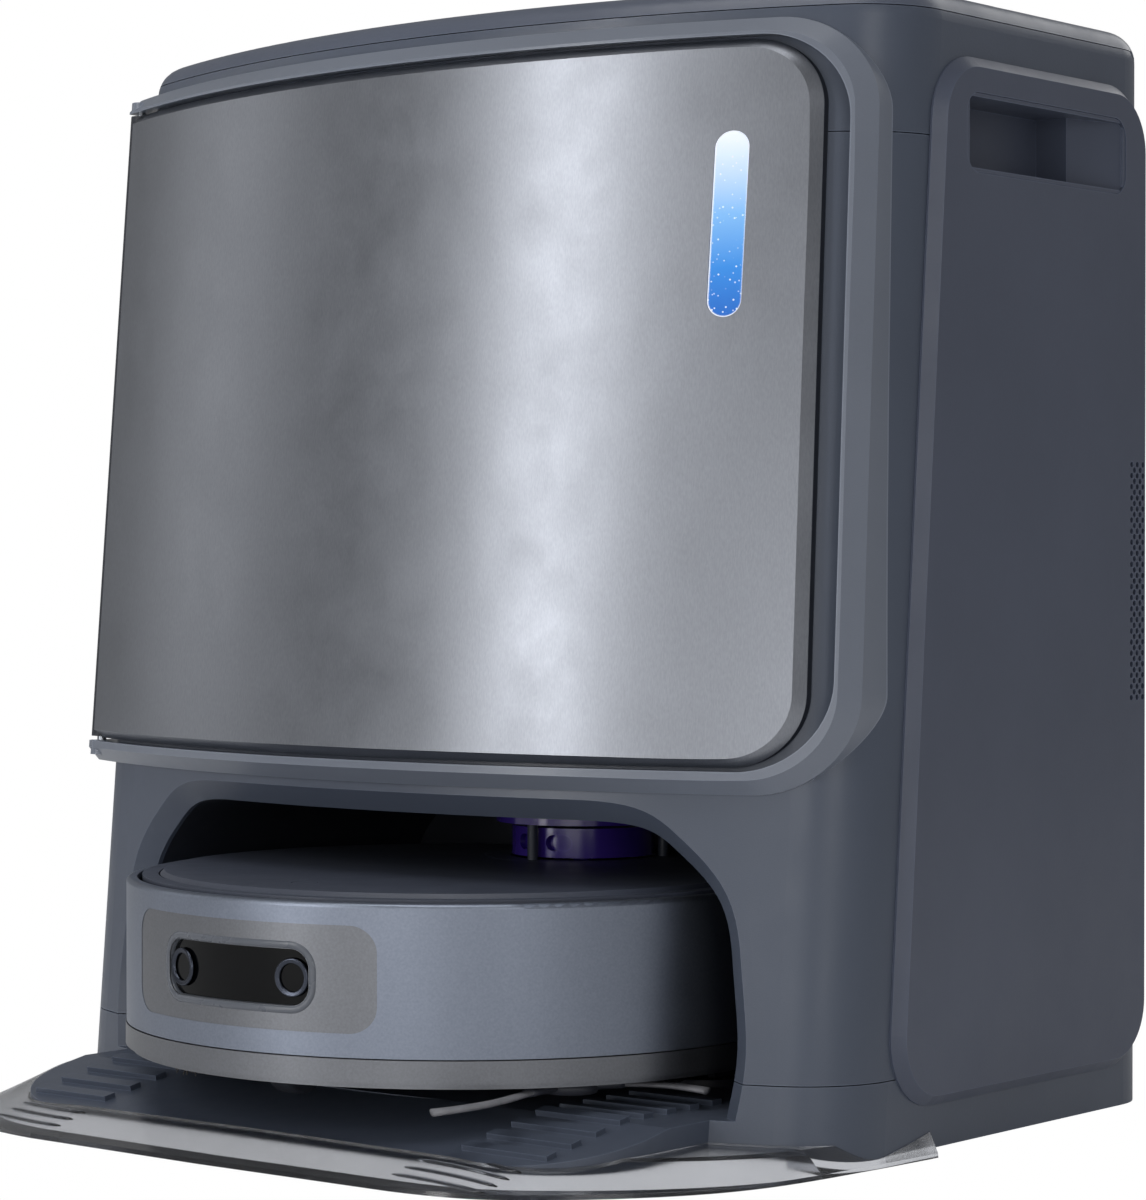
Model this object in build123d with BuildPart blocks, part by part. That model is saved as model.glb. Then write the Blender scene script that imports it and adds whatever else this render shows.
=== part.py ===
"""Robot vacuum parked in its self-emptying, mop-washing dock, as separate pieces.

Units are millimetres. +Z is up, the dock's front faces -Y, and the dock is symmetric about X = 0.
The origin is on the floor, under the middle of the dock's overall box.
"""

import os
from math import atan2, cos, degrees, radians, sin, sqrt, tan

from build123d import *

os.makedirs("parts", exist_ok=True)

# ---------------------------------------------------------------- driving dimensions: dock
BODY_HALF_W = 241.0  # half width of the dock's shell
BACK_Y = 216.0  # rear face
LEAN = 0.09  # how far the front falls back for each millimetre of height
BOW_R = 555.7  # radius of the front's bow, seen from above
DOOR_FACE_Y = -106.9  # door face on the centre line, at the door's lower edge
DOOR_Z0 = 181.4  # lower edge of the door's face
DOOR_Z1 = 500.0  # upper edge of the door's face
BODY_DEPTH = 9.0  # how far the shell's front lies behind the door face
FRONT_CORNER_R = 48.0
REAR_CORNER_R = 35.0
WALL = 3.0
BASE_Z0 = 3.5  # underside of the base
BASE_Z1 = 38.0  # seam between base and shell
SEAM = 0.5  # width of a parting line
SHELL_Z1 = 461.5  # seam between shell and top frame
LID_Z0 = 519.0  # seam between top frame and lid
TOP_Z = 529.0
TOP_EDGE_R = 15.0
LID_HINGE_Y = 194.0
LID_HINGE_Z = 522.5
LID_NOSE_R = 6.5
LID_EAR_X = 150.0  # the lid's two hinge ears
LID_EAR_W = 12.0

WELL_HALF_X = 212.0
WELL_Y0 = 6.0
WELL_Y1 = 184.0
SCREW_R = 3.5
SCREW_PLACES = [(x, z) for x in (-198.0, 198.0) for z in (60.0, 250.0, 440.0)]
INLET_X = 170.0
INLET_Z = 70.0
INLET_W = 30.0
INLET_H = 20.0

# bay for the robot
BAY_TOP = 151.0
BAY_BACK = 140.0
TRAY_Z = 24.0  # floor of the bay
BAY_HALF_FLOOR = 184.0
BAY_HALF_MAX = 188.8
LINER = 2.5
LIP_DEPTH = 13.0  # the mouth's thick rim, front to back
LIP_WIDTH = 14.0
LIP_CHAMFER = 10.0
DECK_Z = 158.0  # floor of the upper compartments
SPLIT_Y = 150.0  # seam between shell and rear cover
PARTITION_Y = 0.0

# door and its frame
DOOR_THICK = 8.3
SKIN_THICK = 4.6
DOOR_CHAMFER = 4.2
DOOR_GAP = 1.6
DOOR_HALF_TOP = 212.0  # right edge of the door, at the top
DOOR_HALF_BOTTOM = 219.0
DOOR_LEFT = -236.0  # the hinge axis
DOOR_AXIS_DEPTH = 6.0
KNUCKLE_R = 5.4
FRAME_Z0 = 165.0
FRAME_Z1 = 514.0
FRAME_HALF_TOP = 233.0
FRAME_HALF_BOTTOM = 240.0
FRAME_WIDTH = 8.0
FRAME_INNER_Z0 = DOOR_Z0 - DOOR_CHAMFER - DOOR_GAP
FRAME_INNER_Z1 = DOOR_Z1 + DOOR_CHAMFER + DOOR_GAP
FRAME_CHAMFER = 7.0
PIN_R = 2.4
RUNNING = 0.06  # radial clearance of a pin in its bore

# side panels
PANEL_X0 = 241.0
PANEL_X1 = 247.0
PANEL_Z0 = 23.3
PANEL_Z1 = 499.7
PANEL_REAR_Y = 196.0
PANEL_CORNER_R = 32.0
PANEL_CHAMFER = 5.0
RECESS_Y0 = 30.0
RECESS_Y1 = 172.0
RECESS_Z0 = 446.5
RECESS_Z1 = 483.0
RECESS_DEPTH = 27.0
RECESS_POCKET_Y1 = 133.0  # rear end of the deep part of the recess
VENT_Y = 183.5
VENT_COLUMNS = 3
VENT_ROWS = 22
VENT_Z0 = 201.0
VENT_Z1 = 318.0
VENT_PITCH = 5.4
VENT_HOLE_R = 1.45

# water tanks
TANK_X0 = 8.0
TANK_X1 = 204.0
TANK_Y0 = 9.0
TANK_Y1 = 180.0
TANK_Z0 = 166.0
TANK_Z1 = 425.0
TANK_WALL = 2.5
TANK_MID = (TANK_X0 + TANK_X1) / 2
HANDLE_HALF = 62.0
HANDLE_Y = 70.0
HANDLE_Z = 438.0

# charging contacts at the back of the bay
CONTACT_X = 32.0
CONTACT_Z = 62.0
CONTACT_R = 4.5

# light bar in the door
BAR_X = 176.0
BAR_W = 15.5
BAR_Z0 = 378.3
BAR_Z1 = 462.5

# ramp in front of the bay
PLATE_FRONT_Y = -216.0
PLATE_TOP_Z = 12.0
PLATE_THICK = 3.2
PLATE_END_Y = 8.5
APRON_FRONT_Y = -178.0
APRON_TIP_Z = 9.0
APRON_HALF = 184.0
APRON_CORNER_R = 55.0
RAMP_TOP_Y = -110.0
RIB_H = 2.5
RIB_W = 7.0
RIB_ROWS = 8
RIB_PITCH = 17.0
RIB_X0 = 112.0
RIB_X1 = 160.0
FOOT_R = 11.0
FOOT_PLACES = [(-200, -20), (200, -20), (-200, 170), (200, 170), (-120, -150), (120, -150)]

# inside the dock
FLOOR_Z = TRAY_Z - RIB_H
BAG_HALF = 75.0
BAG_Y0 = -56.0
BAG_Y1 = -8.0
BAG_Z0 = 205.0
BAG_Z1 = 415.0
BOARD_Y0 = -5.0
BOARD_Y1 = 108.0

# ---------------------------------------------------------------- driving dimensions: robot
ROBOT_Y = -34.0  # centre of the parked robot
ROBOT_R = 162.5
ROBOT_WALL = 3.0
CONTACT_Y = ROBOT_Y + sqrt(ROBOT_R**2 - CONTACT_X**2)  # the robot's back at the charging pads
SKIRT_Z0 = 38.2
SKIRT_Z1 = 49.1
RIM_Z = 117.9  # top of the bumper
BUMPER_SPAN = 100.0  # half angle of the bumper, from the front
BUMPER_GAP = 0.9  # angle left between bumper and rear shell for the bumper's travel
LID_R = 146.0
ROBOT_DECK_Z = 113.0
ROBOT_LID_Z1 = 121.0
TURRET_Y = ROBOT_Y + 94.0
TURRET_HEAD_R = 36.0
TURRET_CAP_R = 44.0
TURRET_Z0 = 122.0
TURRET_Z1 = 138.5
CAP_Z1 = 146.0
BRUSH_X = 120.0
BRUSH_Y = ROBOT_Y - 66.0
WHEEL_R = 30.0
WHEEL_Y = ROBOT_Y + 20.0
WHEEL_X = 105.0
WHEEL_W = 20.0
MOP_R = 54.0
MOP_X = 60.0
MOP_Y = ROBOT_Y + 86.0
BRUSH_STRIP_ANGLE = -110.0
BRUSH_TUFT_ANGLE = -60.0
BRUSH_REACH = 60.0
WHEEL_Z = TRAY_Z + 0.3 + WHEEL_R
ARM_X = WHEEL_X - WHEEL_W / 2 - 3.5
PIVOT_Y = WHEEL_Y + 48.0
PIVOT_Z = 62.0
PAD_Z0 = 29.0
PAD_Z1 = 33.5
PAN_Z = 36.0
PAN_WALL_R = 153.0
RIM_INNER_R = 157.0
ROLLER_Y = ROBOT_Y + 2.0
ROLLER_R = 20.0
ROLLER_HALF = 72.0
ROLLER_Z = 47.0
CASTER_Y = ROBOT_Y - 118.0
CASTER_WELL_R = 21.0
CASTER_R = 13.0
PANEL_ARC = 27.0  # half angle of the sensor panel
SENSOR_PANEL_Z0 = 60.0
SENSOR_PANEL_Z1 = 108.0
WINDOW_ARC = 15.5
WINDOW_Z0 = 71.0
WINDOW_Z1 = 96.5
WINDOW_CORNER = 9.0
LENS_ANGLE = 12.3
LENS_Z = 83.6
LENS_R = 7.4
SEAT_R = 50.0
POST_R = 40.5
POST_ANGLE = -90.0
BUTTON_Y = ROBOT_Y - 112.0
BUTTON_R = 6.0
BEARING = 0.06  # radial clearance of an axle in its bore


# ---------------------------------------------------------------- shared outlines
def front_y(z, depth=0.0):
    """Y of the front on the centre line at height z, a given depth behind the door face."""
    return DOOR_FACE_Y + LEAN * (z - DOOR_Z0) + depth


def bow(x):
    """How far the bowed front has fallen back at x."""
    return BOW_R - sqrt(BOW_R**2 - x**2)


def body_outline(z, inset=0.0):
    """Plan of the dock's shell at height z: bowed front, round corners, straight sides."""
    half = BODY_HALF_W - inset
    nose = front_y(z, BODY_DEPTH + inset)
    shoulder = nose + bow(half)
    back = BACK_Y - inset
    with BuildSketch(Plane.XY.offset(z)) as outline:
        with BuildLine():
            ThreePointArc((-half, shoulder), (0, nose), (half, shoulder))
            Polyline((half, shoulder), (half, back), (-half, back), (-half, shoulder))
        make_face()
        fillet(outline.vertices().group_by(Axis.Y)[0], FRONT_CORNER_R - inset)
        fillet(outline.vertices().group_by(Axis.Y)[-1], REAR_CORNER_R - inset)
    return outline.sketch


def front_slab(near, far):
    """Bowed, leaning slab parallel to the front, between two depths behind the door face."""
    reach = 262.0
    low = 120.0
    high = 540.0
    fall = bow(reach)
    y_near = front_y(low, near)
    y_far = front_y(low, far)
    with BuildSketch(Plane.XY.offset(low)) as plan:
        with BuildLine():
            ThreePointArc((-reach, y_near + fall), (0, y_near), (reach, y_near + fall))
            Line((reach, y_near + fall), (reach, y_far + fall))
            ThreePointArc((reach, y_far + fall), (0, y_far), (-reach, y_far + fall))
            Line((-reach, y_far + fall), (-reach, y_near + fall))
        make_face()
    length = (high - low) * sqrt(1 + LEAN**2)
    with BuildPart() as slab:
        extrude(plan.sketch, amount=length, dir=Vector(0, LEAN, 1).normalized())
    return slab.part


def front_window(x0, x1_low, x1_high, z0, z1, corner):
    """Upright outline, seen from the front, whose right side widens a little downwards."""
    with BuildSketch(Plane.XZ) as outline:
        with BuildLine():
            Polyline((x0, z0), (x1_low, z0), (x1_high, z1), (x0, z1), (x0, z0))
        make_face()
        fillet(outline.vertices().group_by(Axis.X)[-2:], corner)
    return outline.sketch


def arch_outline(grow=0.0):
    """Mouth of the bay seen from the front: flat top, round shoulders, sides that tuck in."""
    top = BAY_TOP + grow
    with BuildSketch(Plane.XZ) as outline:
        with BuildLine() as half:
            Line((0, TRAY_Z - 12), (BAY_HALF_FLOOR + grow, TRAY_Z - 12))
            Spline(
                (BAY_HALF_FLOOR + grow, TRAY_Z - 12),
                (BAY_HALF_MAX + grow, 50),
                (185.5 + grow, 83 + 0.15 * grow),
                (177 + 0.87 * grow, 118 + 0.5 * grow),
                (158 + 0.62 * grow, 138 + 0.8 * grow),
                (112, top),
                tangents=[(0.15, 1), (-1, 0)],
            )
            Line((112, top), (0, top))
            mirror(half.line, about=Plane.YZ)
        make_face()
    return outline.sketch


def panel_front(z):
    """Y of the side panel's front edge, which leans back like the front."""
    return -28.3 + 0.079 * z


def ring_sector(outer, inner, angle_from, angle_to):
    """Ring sector about the robot's centre, between two angles measured from +X."""
    centre = Vector(0, ROBOT_Y)
    middle = (angle_from + angle_to) / 2

    def point(radius, angle):
        return centre + Vector(radius * cos(radians(angle)), radius * sin(radians(angle)))

    with BuildSketch() as sector:
        with BuildLine():
            ThreePointArc(point(outer, angle_from), point(outer, middle), point(outer, angle_to))
            Line(point(outer, angle_to), point(inner, angle_to))
            ThreePointArc(point(inner, angle_to), point(inner, middle), point(inner, angle_from))
            Line(point(inner, angle_from), point(outer, angle_from))
        make_face()
    return sector.sketch


def save(builder, name):
    """Label a finished piece and write its file."""
    builder.part.label = name
    export_step(builder.part, f"parts/{name}.step")


def box_between(low, high):
    """Plain box between two corners, as a free-standing part."""
    centre = tuple((a + b) / 2 for a, b in zip(low, high))
    with BuildPart() as block:
        with Locations(centre):
            Box(*[b - a for a, b in zip(low, high)])
    return block.part


def tube_along(axis, centre, outer, inner, length):
    """Round tube or bar about X, Y or Z, centred on a point."""
    plane = {"X": Plane.YZ, "Y": Plane.XZ, "Z": Plane.XY}[axis]
    with BuildPart() as tube:
        with BuildSketch(plane):
            Circle(outer)
            if inner > 0:
                Circle(inner, mode=Mode.SUBTRACT)
        extrude(amount=length / 2, both=True)
    return tube.part.moved(Location(centre))


def bay_tunnel(grow, y0, y1, z0=0.0):
    """The bay's cross-section run back from y0 to y1, above height z0."""
    with BuildPart() as tunnel:
        extrude(arch_outline(grow), amount=-(y1 - y0))
        split(bisect_by=Plane.XY.offset(z0), keep=Keep.TOP)
    return tunnel.part.moved(Location((0, y0, 0)))


def body_block(z0, z1, inset=0.0):
    """The dock's outer form between two heights, or the same form inset."""
    with BuildPart() as block:
        loft([body_outline(z0, inset), body_outline(z1, inset)], ruled=True)
    return block.part


def body_ring(z0, z1, wall=WALL):
    """The dock's outer wall between two heights."""
    with BuildPart() as ring:
        add(body_block(z0, z1))
        add(body_block(z0 - 1, z1 + 1, wall), mode=Mode.SUBTRACT)
    return ring.part


def mouth_lip(z0, z1):
    """Stretch between two heights of the thick rim round the bay's mouth, bevelled inwards."""
    with BuildPart() as lip:
        add(body_ring(BASE_Z0, BAY_TOP + LIP_WIDTH + 1, LIP_DEPTH))
        add(bay_tunnel(LIP_WIDTH, -130, 0), mode=Mode.INTERSECT)
        add(bay_tunnel(0, -135, 5), mode=Mode.SUBTRACT)
        chamfer(mouth_edges(lip), LIP_CHAMFER)
        split(bisect_by=Plane.XY.offset(z0), keep=Keep.TOP)
        split(bisect_by=Plane.XY.offset(z1), keep=Keep.BOTTOM)
    return lip.part


def mouth_edges(lip):
    """Front edges of the lip's opening."""

    def in_front(edge):
        middle = edge.position_at(0.5)
        wide = abs(middle.X) < BAY_HALF_MAX + 1 and middle.Z > BASE_Z0 + 1
        return wide and middle.Y - front_y(middle.Z, BODY_DEPTH) - bow(middle.X) < LIP_DEPTH / 2

    inner = bay_tunnel(0.5, -135, 5)
    return [edge for edge in lip.edges().filter_by(in_front) if inner.is_inside(edge.position_at(0.5))]


# ---------------------------------------------------------------- dock: base and ramp
def make_base_tray():
    """Base with side walls up to the seam, a raised bay floor and a ribbed ramp."""
    floor_z = TRAY_Z - RIB_H
    side_wall = 4.0
    slope = degrees(atan2(floor_z - APRON_TIP_Z, RAMP_TOP_Y - APRON_FRONT_Y))
    with BuildPart() as apron:
        with BuildSketch(Plane.YZ.offset(-APRON_HALF)):
            with BuildLine():
                Polyline(
                    (APRON_FRONT_Y, BASE_Z0),
                    (APRON_FRONT_Y, APRON_TIP_Z),
                    (RAMP_TOP_Y, floor_z),
                    (-60, floor_z),
                    (-60, BASE_Z0),
                    (APRON_FRONT_Y, BASE_Z0),
                )
            make_face()
        extrude(amount=2 * APRON_HALF)
        fillet(apron.edges().filter_by(Axis.Z).group_by(Axis.Y)[0], APRON_CORNER_R)
    with BuildPart() as tray:
        add(body_block(BASE_Z0, floor_z))
        add(body_block(BASE_Z0 - 1, floor_z - side_wall, side_wall), mode=Mode.SUBTRACT)
        add(apron.part)
        add(body_ring(floor_z, BASE_Z1 - SEAM, side_wall))
        add(bay_tunnel(LIP_WIDTH, -130, -40, floor_z), mode=Mode.SUBTRACT)
        add(mouth_lip(floor_z, BASE_Z1 - SEAM))
        for x, y in FOOT_PLACES:
            if y > RAMP_TOP_Y:
                boss_z = (BASE_Z0 + floor_z) / 2
                add(tube_along("Z", (x, y, boss_z), FOOT_R + 2, 0, floor_z - BASE_Z0))
        for side in (-1, 1):
            rib_x = side * (RIB_X0 + RIB_X1) / 2
            for row in range(RIB_ROWS):
                rib_y = APRON_FRONT_Y + 16 + row * RIB_PITCH
                on_slope = rib_y < RAMP_TOP_Y
                rise = (rib_y - APRON_FRONT_Y) * tan(radians(slope))
                rib_z = APRON_TIP_Z + rise if on_slope else floor_z
                with Locations(Location((rib_x, rib_y, rib_z), (slope if on_slope else 0, 0, 0))):
                    Box(RIB_X1 - RIB_X0, RIB_W, 2 * RIB_H)
    return tray


def plate_outline(z, shrink):
    """Plan of the clear ramp plate: blunt front, round corners, arms along the dock's sides."""
    front = PLATE_FRONT_Y + shrink
    with BuildSketch(Plane.XY.offset(z)) as outline:
        with BuildLine() as half:
            Line((0, PLATE_END_Y), (246 - shrink * 0.12, PLATE_END_Y))
            Line((246 - shrink * 0.12, PLATE_END_Y), (243 - shrink * 0.15, -30))
            Spline(
                (243 - shrink * 0.15, -30),
                (224 - shrink * 0.55, -128 + shrink * 0.2),
                (176 - shrink * 0.62, -190 + shrink * 0.7),
                (112, front + 2),
                tangents=[(-0.12, -1), (-1, -0.08)],
            )
            Line((112, front + 2), (0, front))
            mirror(half.line, about=Plane.YZ)
        make_face()
    return outline.sketch


def make_ramp_plate():
    """Clear sloping plate in front of the base, wrapping round to both sides."""
    rise = PLATE_TOP_Z
    run = 40.0
    with BuildPart() as plate:
        loft([plate_outline(0, 0), plate_outline(2.0, 1.0), plate_outline(rise, run)], ruled=True)
    with BuildPart() as under:
        loft([plate_outline(-PLATE_THICK, 0), plate_outline(rise - PLATE_THICK, run)], ruled=True)
        split(bisect_by=Plane.XZ.offset(70), keep=Keep.TOP)
    gap = 0.5
    with BuildPart() as foot:
        with BuildSketch(Plane.XY.offset(-20)):
            with Locations((0, APRON_FRONT_Y / 2 - 20 - gap / 2)):
                Rectangle(2 * (APRON_HALF + gap), -APRON_FRONT_Y - 40 + gap)
        extrude(amount=80)
        fillet(foot.edges().filter_by(Axis.Z).group_by(Axis.Y)[0], APRON_CORNER_R + gap)
        add(body_block(-20, 60, -gap))
    with BuildPart() as trimmed:
        add(plate.part)
        add(under.part, mode=Mode.SUBTRACT)
        add(foot.part, mode=Mode.SUBTRACT)
        split(bisect_by=Plane.XY, keep=Keep.TOP)
    return trimmed


# ---------------------------------------------------------------- dock: shell
def make_housing():
    """Front and side walls of the shell, with the bay's mouth and the door's compartment."""
    z0 = BASE_Z1
    with BuildPart() as housing:
        add(body_ring(z0, SHELL_Z1 - SEAM))
        add(bay_tunnel(LIP_WIDTH, -130, -20, z0), mode=Mode.SUBTRACT)
        add(mouth_lip(z0, BAY_TOP + LIP_WIDTH + 1))
        add(box_between((-190, -130, 190), (190, -20, 450)), mode=Mode.SUBTRACT)
        for side in (-1, 1):
            low = (min(side * 230, side * 250), RECESS_Y0 - 3, RECESS_Z0 - 3)
            high = (max(side * 230, side * 250), RECESS_Y1 + 3, SHELL_Z1 + 5)
            add(box_between(low, high), mode=Mode.SUBTRACT)
        split(bisect_by=Plane.XZ.offset(-SPLIT_Y), keep=Keep.TOP)
    return housing


def make_rear_cover():
    """Back of the shell with its two round corners, an inlet hole and exhaust slots."""
    with BuildPart() as cover:
        add(body_ring(BASE_Z1, SHELL_Z1 - SEAM))
        split(bisect_by=Plane.XZ.offset(-SPLIT_Y - SEAM), keep=Keep.BOTTOM)
        for side in (-1, 1):
            low = (min(side * 230, side * 250), RECESS_Y0 - 3, RECESS_Z0 - 3)
            high = (max(side * 230, side * 250), RECESS_Y1 + 3, SHELL_Z1 + 5)
            add(box_between(low, high), mode=Mode.SUBTRACT)
        with BuildSketch(Plane.XZ.offset(-BACK_Y + 10)):
            with Locations((INLET_X, INLET_Z)):
                RectangleRounded(INLET_W + 0.6, INLET_H + 0.6, 4)
            with Locations((-110, 95)):
                with GridLocations(0, 9, 1, 9):
                    SlotOverall(90, 4)
        extrude(amount=-20, mode=Mode.SUBTRACT)
        for x, z in SCREW_PLACES:
            add(tube_along("Y", (x, BACK_Y, z), SCREW_R, 0, 20), mode=Mode.SUBTRACT)
    return cover


def make_top_frame():
    """Fixed upper rim: the front corners above the seam and the ledge under the lid."""
    with BuildPart() as frame:
        add(body_block(SHELL_Z1, TOP_Z))
        fillet(frame.edges().group_by(Axis.Z)[-1], TOP_EDGE_R)
        add(body_block(SHELL_Z1 - 1, TOP_Z - 16, 5), mode=Mode.SUBTRACT)
        # open well for the tanks, the seat of the lid and the trough of its hinge
        well_low = (-WELL_HALF_X, WELL_Y0, SHELL_Z1)
        add(box_between(well_low, (WELL_HALF_X, WELL_Y1, TOP_Z)), mode=Mode.SUBTRACT)
        add(box_between((-260, -130, LID_Z0 - SEAM), (260, LID_HINGE_Y, TOP_Z + 5)), mode=Mode.SUBTRACT)
        trough_r = LID_NOSE_R + 0.6
        add(tube_along("X", (0, LID_HINGE_Y, LID_HINGE_Z), trough_r, 0, 600), mode=Mode.SUBTRACT)
        trough_low = (-260, LID_HINGE_Y - 1, LID_HINGE_Z)
        add(box_between(trough_low, (260, LID_HINGE_Y + trough_r, TOP_Z + 5)), mode=Mode.SUBTRACT)
        for side in (-1, 1):
            low = (min(side * 215, side * 250), RECESS_Y0 - 5, SHELL_Z1 - 5)
            high = (max(side * 215, side * 250), RECESS_Y1 + 5, RECESS_Z1 + 5)
            add(box_between(low, high), mode=Mode.SUBTRACT)
            # ears that hold the ends of the hinge pins
            ear_x = side * LID_EAR_X
            low = (ear_x - LID_EAR_W / 2, LID_HINGE_Y - 5, TOP_Z - 18)
            add(box_between(low, (ear_x + LID_EAR_W / 2, LID_HINGE_Y + 5, LID_HINGE_Z)))
            add(tube_along("X", (ear_x, LID_HINGE_Y, LID_HINGE_Z), LID_NOSE_R, 0, LID_EAR_W))
            bore = tube_along("X", (ear_x, LID_HINGE_Y, LID_HINGE_Z), PIN_R, 0, LID_EAR_W)
            add(bore, mode=Mode.SUBTRACT)
    return frame


def make_lid():
    """Hinged top lid: a shallow tray upside down with a round nose along its hinge line."""
    notch = LID_EAR_W / 2 + 0.6
    with BuildPart() as form:
        add(body_block(SHELL_Z1, TOP_Z))
        fillet(form.edges().group_by(Axis.Z)[-1], TOP_EDGE_R)
    with BuildPart() as lid:
        add(body_block(LID_Z0, TOP_Z))
        split(bisect_by=Plane.XZ.offset(-LID_HINGE_Y), keep=Keep.TOP)
        add(body_block(LID_Z0 - 1, TOP_Z - 4, 16), mode=Mode.SUBTRACT)
        add(box_between((-222, LID_HINGE_Y - 16, LID_Z0), (222, LID_HINGE_Y, TOP_Z - 2)))
        add(tube_along("X", (0, LID_HINGE_Y, LID_HINGE_Z), LID_NOSE_R, 0, 476))
        add(form.part, mode=Mode.INTERSECT)
        for side in (-1, 1):
            ear_x = side * LID_EAR_X
            low = (ear_x - notch, LID_HINGE_Y - 9, LID_Z0 - 5)
            high = (ear_x + notch, LID_HINGE_Y + 10, TOP_Z + 5)
            add(box_between(low, high), mode=Mode.SUBTRACT)
            bore = tube_along("X", (ear_x, LID_HINGE_Y, LID_HINGE_Z), PIN_R + RUNNING, 0, 34)
            add(bore, mode=Mode.SUBTRACT)
    return lid


def make_side_panel(side):
    """Raised side panel with bevelled edges, a hand hole and a strip of vent holes."""
    with BuildPart() as panel:
        with BuildSketch(Plane.YZ.offset(PANEL_X0)) as outline:
            with BuildLine():
                Polyline(
                    (panel_front(PANEL_Z0), PANEL_Z0),
                    (PANEL_REAR_Y, PANEL_Z0),
                    (PANEL_REAR_Y, PANEL_Z1),
                    (panel_front(PANEL_Z1), PANEL_Z1),
                    (panel_front(PANEL_Z0), PANEL_Z0),
                )
            make_face()
            fillet(outline.vertices(), PANEL_CORNER_R)
        extrude(amount=PANEL_X1 - PANEL_X0)
        chamfer(panel.faces().sort_by(Axis.X)[-1].edges(), PANEL_CHAMFER)
        with BuildSketch(Plane.YZ.offset(PANEL_X0 - 5)):
            with Locations(((RECESS_Y0 + RECESS_Y1) / 2, (RECESS_Z0 + RECESS_Z1) / 2)):
                RectangleRounded(RECESS_Y1 - RECESS_Y0, RECESS_Z1 - RECESS_Z0, 10)
            with Locations((VENT_Y, (VENT_Z0 + VENT_Z1) / 2)):
                with GridLocations(VENT_PITCH, VENT_PITCH, VENT_COLUMNS, VENT_ROWS):
                    Circle(VENT_HOLE_R)
                with GridLocations(VENT_PITCH, VENT_PITCH, VENT_COLUMNS - 1, VENT_ROWS - 1):
                    Circle(VENT_HOLE_R)
        extrude(amount=20, mode=Mode.SUBTRACT)
        if side < 0:
            mirror(about=Plane.YZ, mode=Mode.REPLACE)
    return panel


def make_handle_cups():
    """Hand holes: a rim flush with each panel, a deep pocket and a sloping rear ramp."""
    y_mid = (RECESS_Y0 + RECESS_Y1) / 2
    z_mid = (RECESS_Z0 + RECESS_Z1) / 2
    wide = RECESS_Y1 - RECESS_Y0
    tall = RECESS_Z1 - RECESS_Z0
    floor_x = PANEL_X1 - RECESS_DEPTH
    with BuildPart() as cup:
        with BuildSketch(Plane.YZ.offset(floor_x - 2)):
            with Locations((y_mid, z_mid)):
                RectangleRounded(wide - 0.4, tall - 0.4, 9.8)
        extrude(amount=RECESS_DEPTH + 1.6)
        with BuildSketch(Plane.XY.offset(RECESS_Z0 + 2)) as pocket:
            with BuildLine():
                Polyline(
                    (floor_x, RECESS_Y0 + 2.5),
                    (PANEL_X1 + 5, RECESS_Y0 + 2.5),
                    (PANEL_X1 + 5, RECESS_Y1 - 1.2),
                    (PANEL_X1 - 1.5, RECESS_Y1 - 2.5),
                    (PANEL_X1 - 10, RECESS_POCKET_Y1),
                    (floor_x, RECESS_POCKET_Y1),
                    (floor_x, RECESS_Y0 + 2.5),
                )
            make_face()
        extrude(amount=tall - 4, mode=Mode.SUBTRACT)
        mirror(about=Plane.YZ)
    return cup


def make_bay_liner():
    """Dark tunnel that the robot parks in, closed at the back."""
    z0 = TRAY_Z - RIB_H + 0.2
    with BuildPart() as liner:
        add(bay_tunnel(LINER, -110, BAY_BACK + LINER, z0))
        add(bay_tunnel(0, -120, BAY_BACK, z0 - 2), mode=Mode.SUBTRACT)
        add(body_block(z0 - 3, 200, LIP_DEPTH + 0.2), mode=Mode.INTERSECT)
        for side in (-1, 1):
            bore = tube_along("Y", (side * CONTACT_X, BAY_BACK, CONTACT_Z), CONTACT_R + RUNNING, 0, 12)
            add(bore, mode=Mode.SUBTRACT)
    return liner


def make_inner_frame():
    """Deck over the bay, with the wall between the door's compartment and the tanks."""
    with BuildPart() as frame:
        add(body_block(DECK_Z + LINER, DECK_Z + LINER + 3, LIP_DEPTH + 3))
        with BuildSketch(Plane.XY.offset(DECK_Z + LINER)):
            with Locations((0, PARTITION_Y)):
                Rectangle(2 * (BODY_HALF_W - WALL - 0.3), 3)
            with Locations((0, (PARTITION_Y + 212) / 2)):
                Rectangle(3, 212 - PARTITION_Y - 0.4)
        extrude(amount=430 - DECK_Z)
        # carrier above the dust bag with its suction mouth, and cheeks beside the bag
        add(box_between((-BAG_HALF - 5, BAG_Y0, BAG_Z1 + 1), (BAG_HALF + 5, PARTITION_Y, BAG_Z1 + 7)))
        add(tube_along("Z", (0, (BAG_Y0 + BAG_Y1) / 2, BAG_Z1 + 4), 18, 0, 12), mode=Mode.SUBTRACT)
        for side in (-1, 1):
            cheek = side * (BAG_HALF + 3)
            add(box_between((cheek - 2, BAG_Y0, BAG_Z0), (cheek + 2, PARTITION_Y, BAG_Z1 + 7)))
        add(body_block(DECK_Z, BAG_Z1 + 40, WALL + 0.4), mode=Mode.INTERSECT)
    return frame


def tank_block(side, z1, inset=0.0):
    """Outer form of one water tank, or the same form inset."""
    x_mid = side * (TANK_X0 + TANK_X1) / 2
    with BuildPart() as block:
        with BuildSketch(Plane.XY.offset(TANK_Z0 + inset)):
            with Locations((x_mid, (TANK_Y0 + TANK_Y1) / 2)):
                RectangleRounded(
                    TANK_X1 - TANK_X0 - 2 * inset, TANK_Y1 - TANK_Y0 - 2 * inset, 18 - inset
                )
        extrude(amount=z1 - TANK_Z0 - inset)
    return block.part


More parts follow.
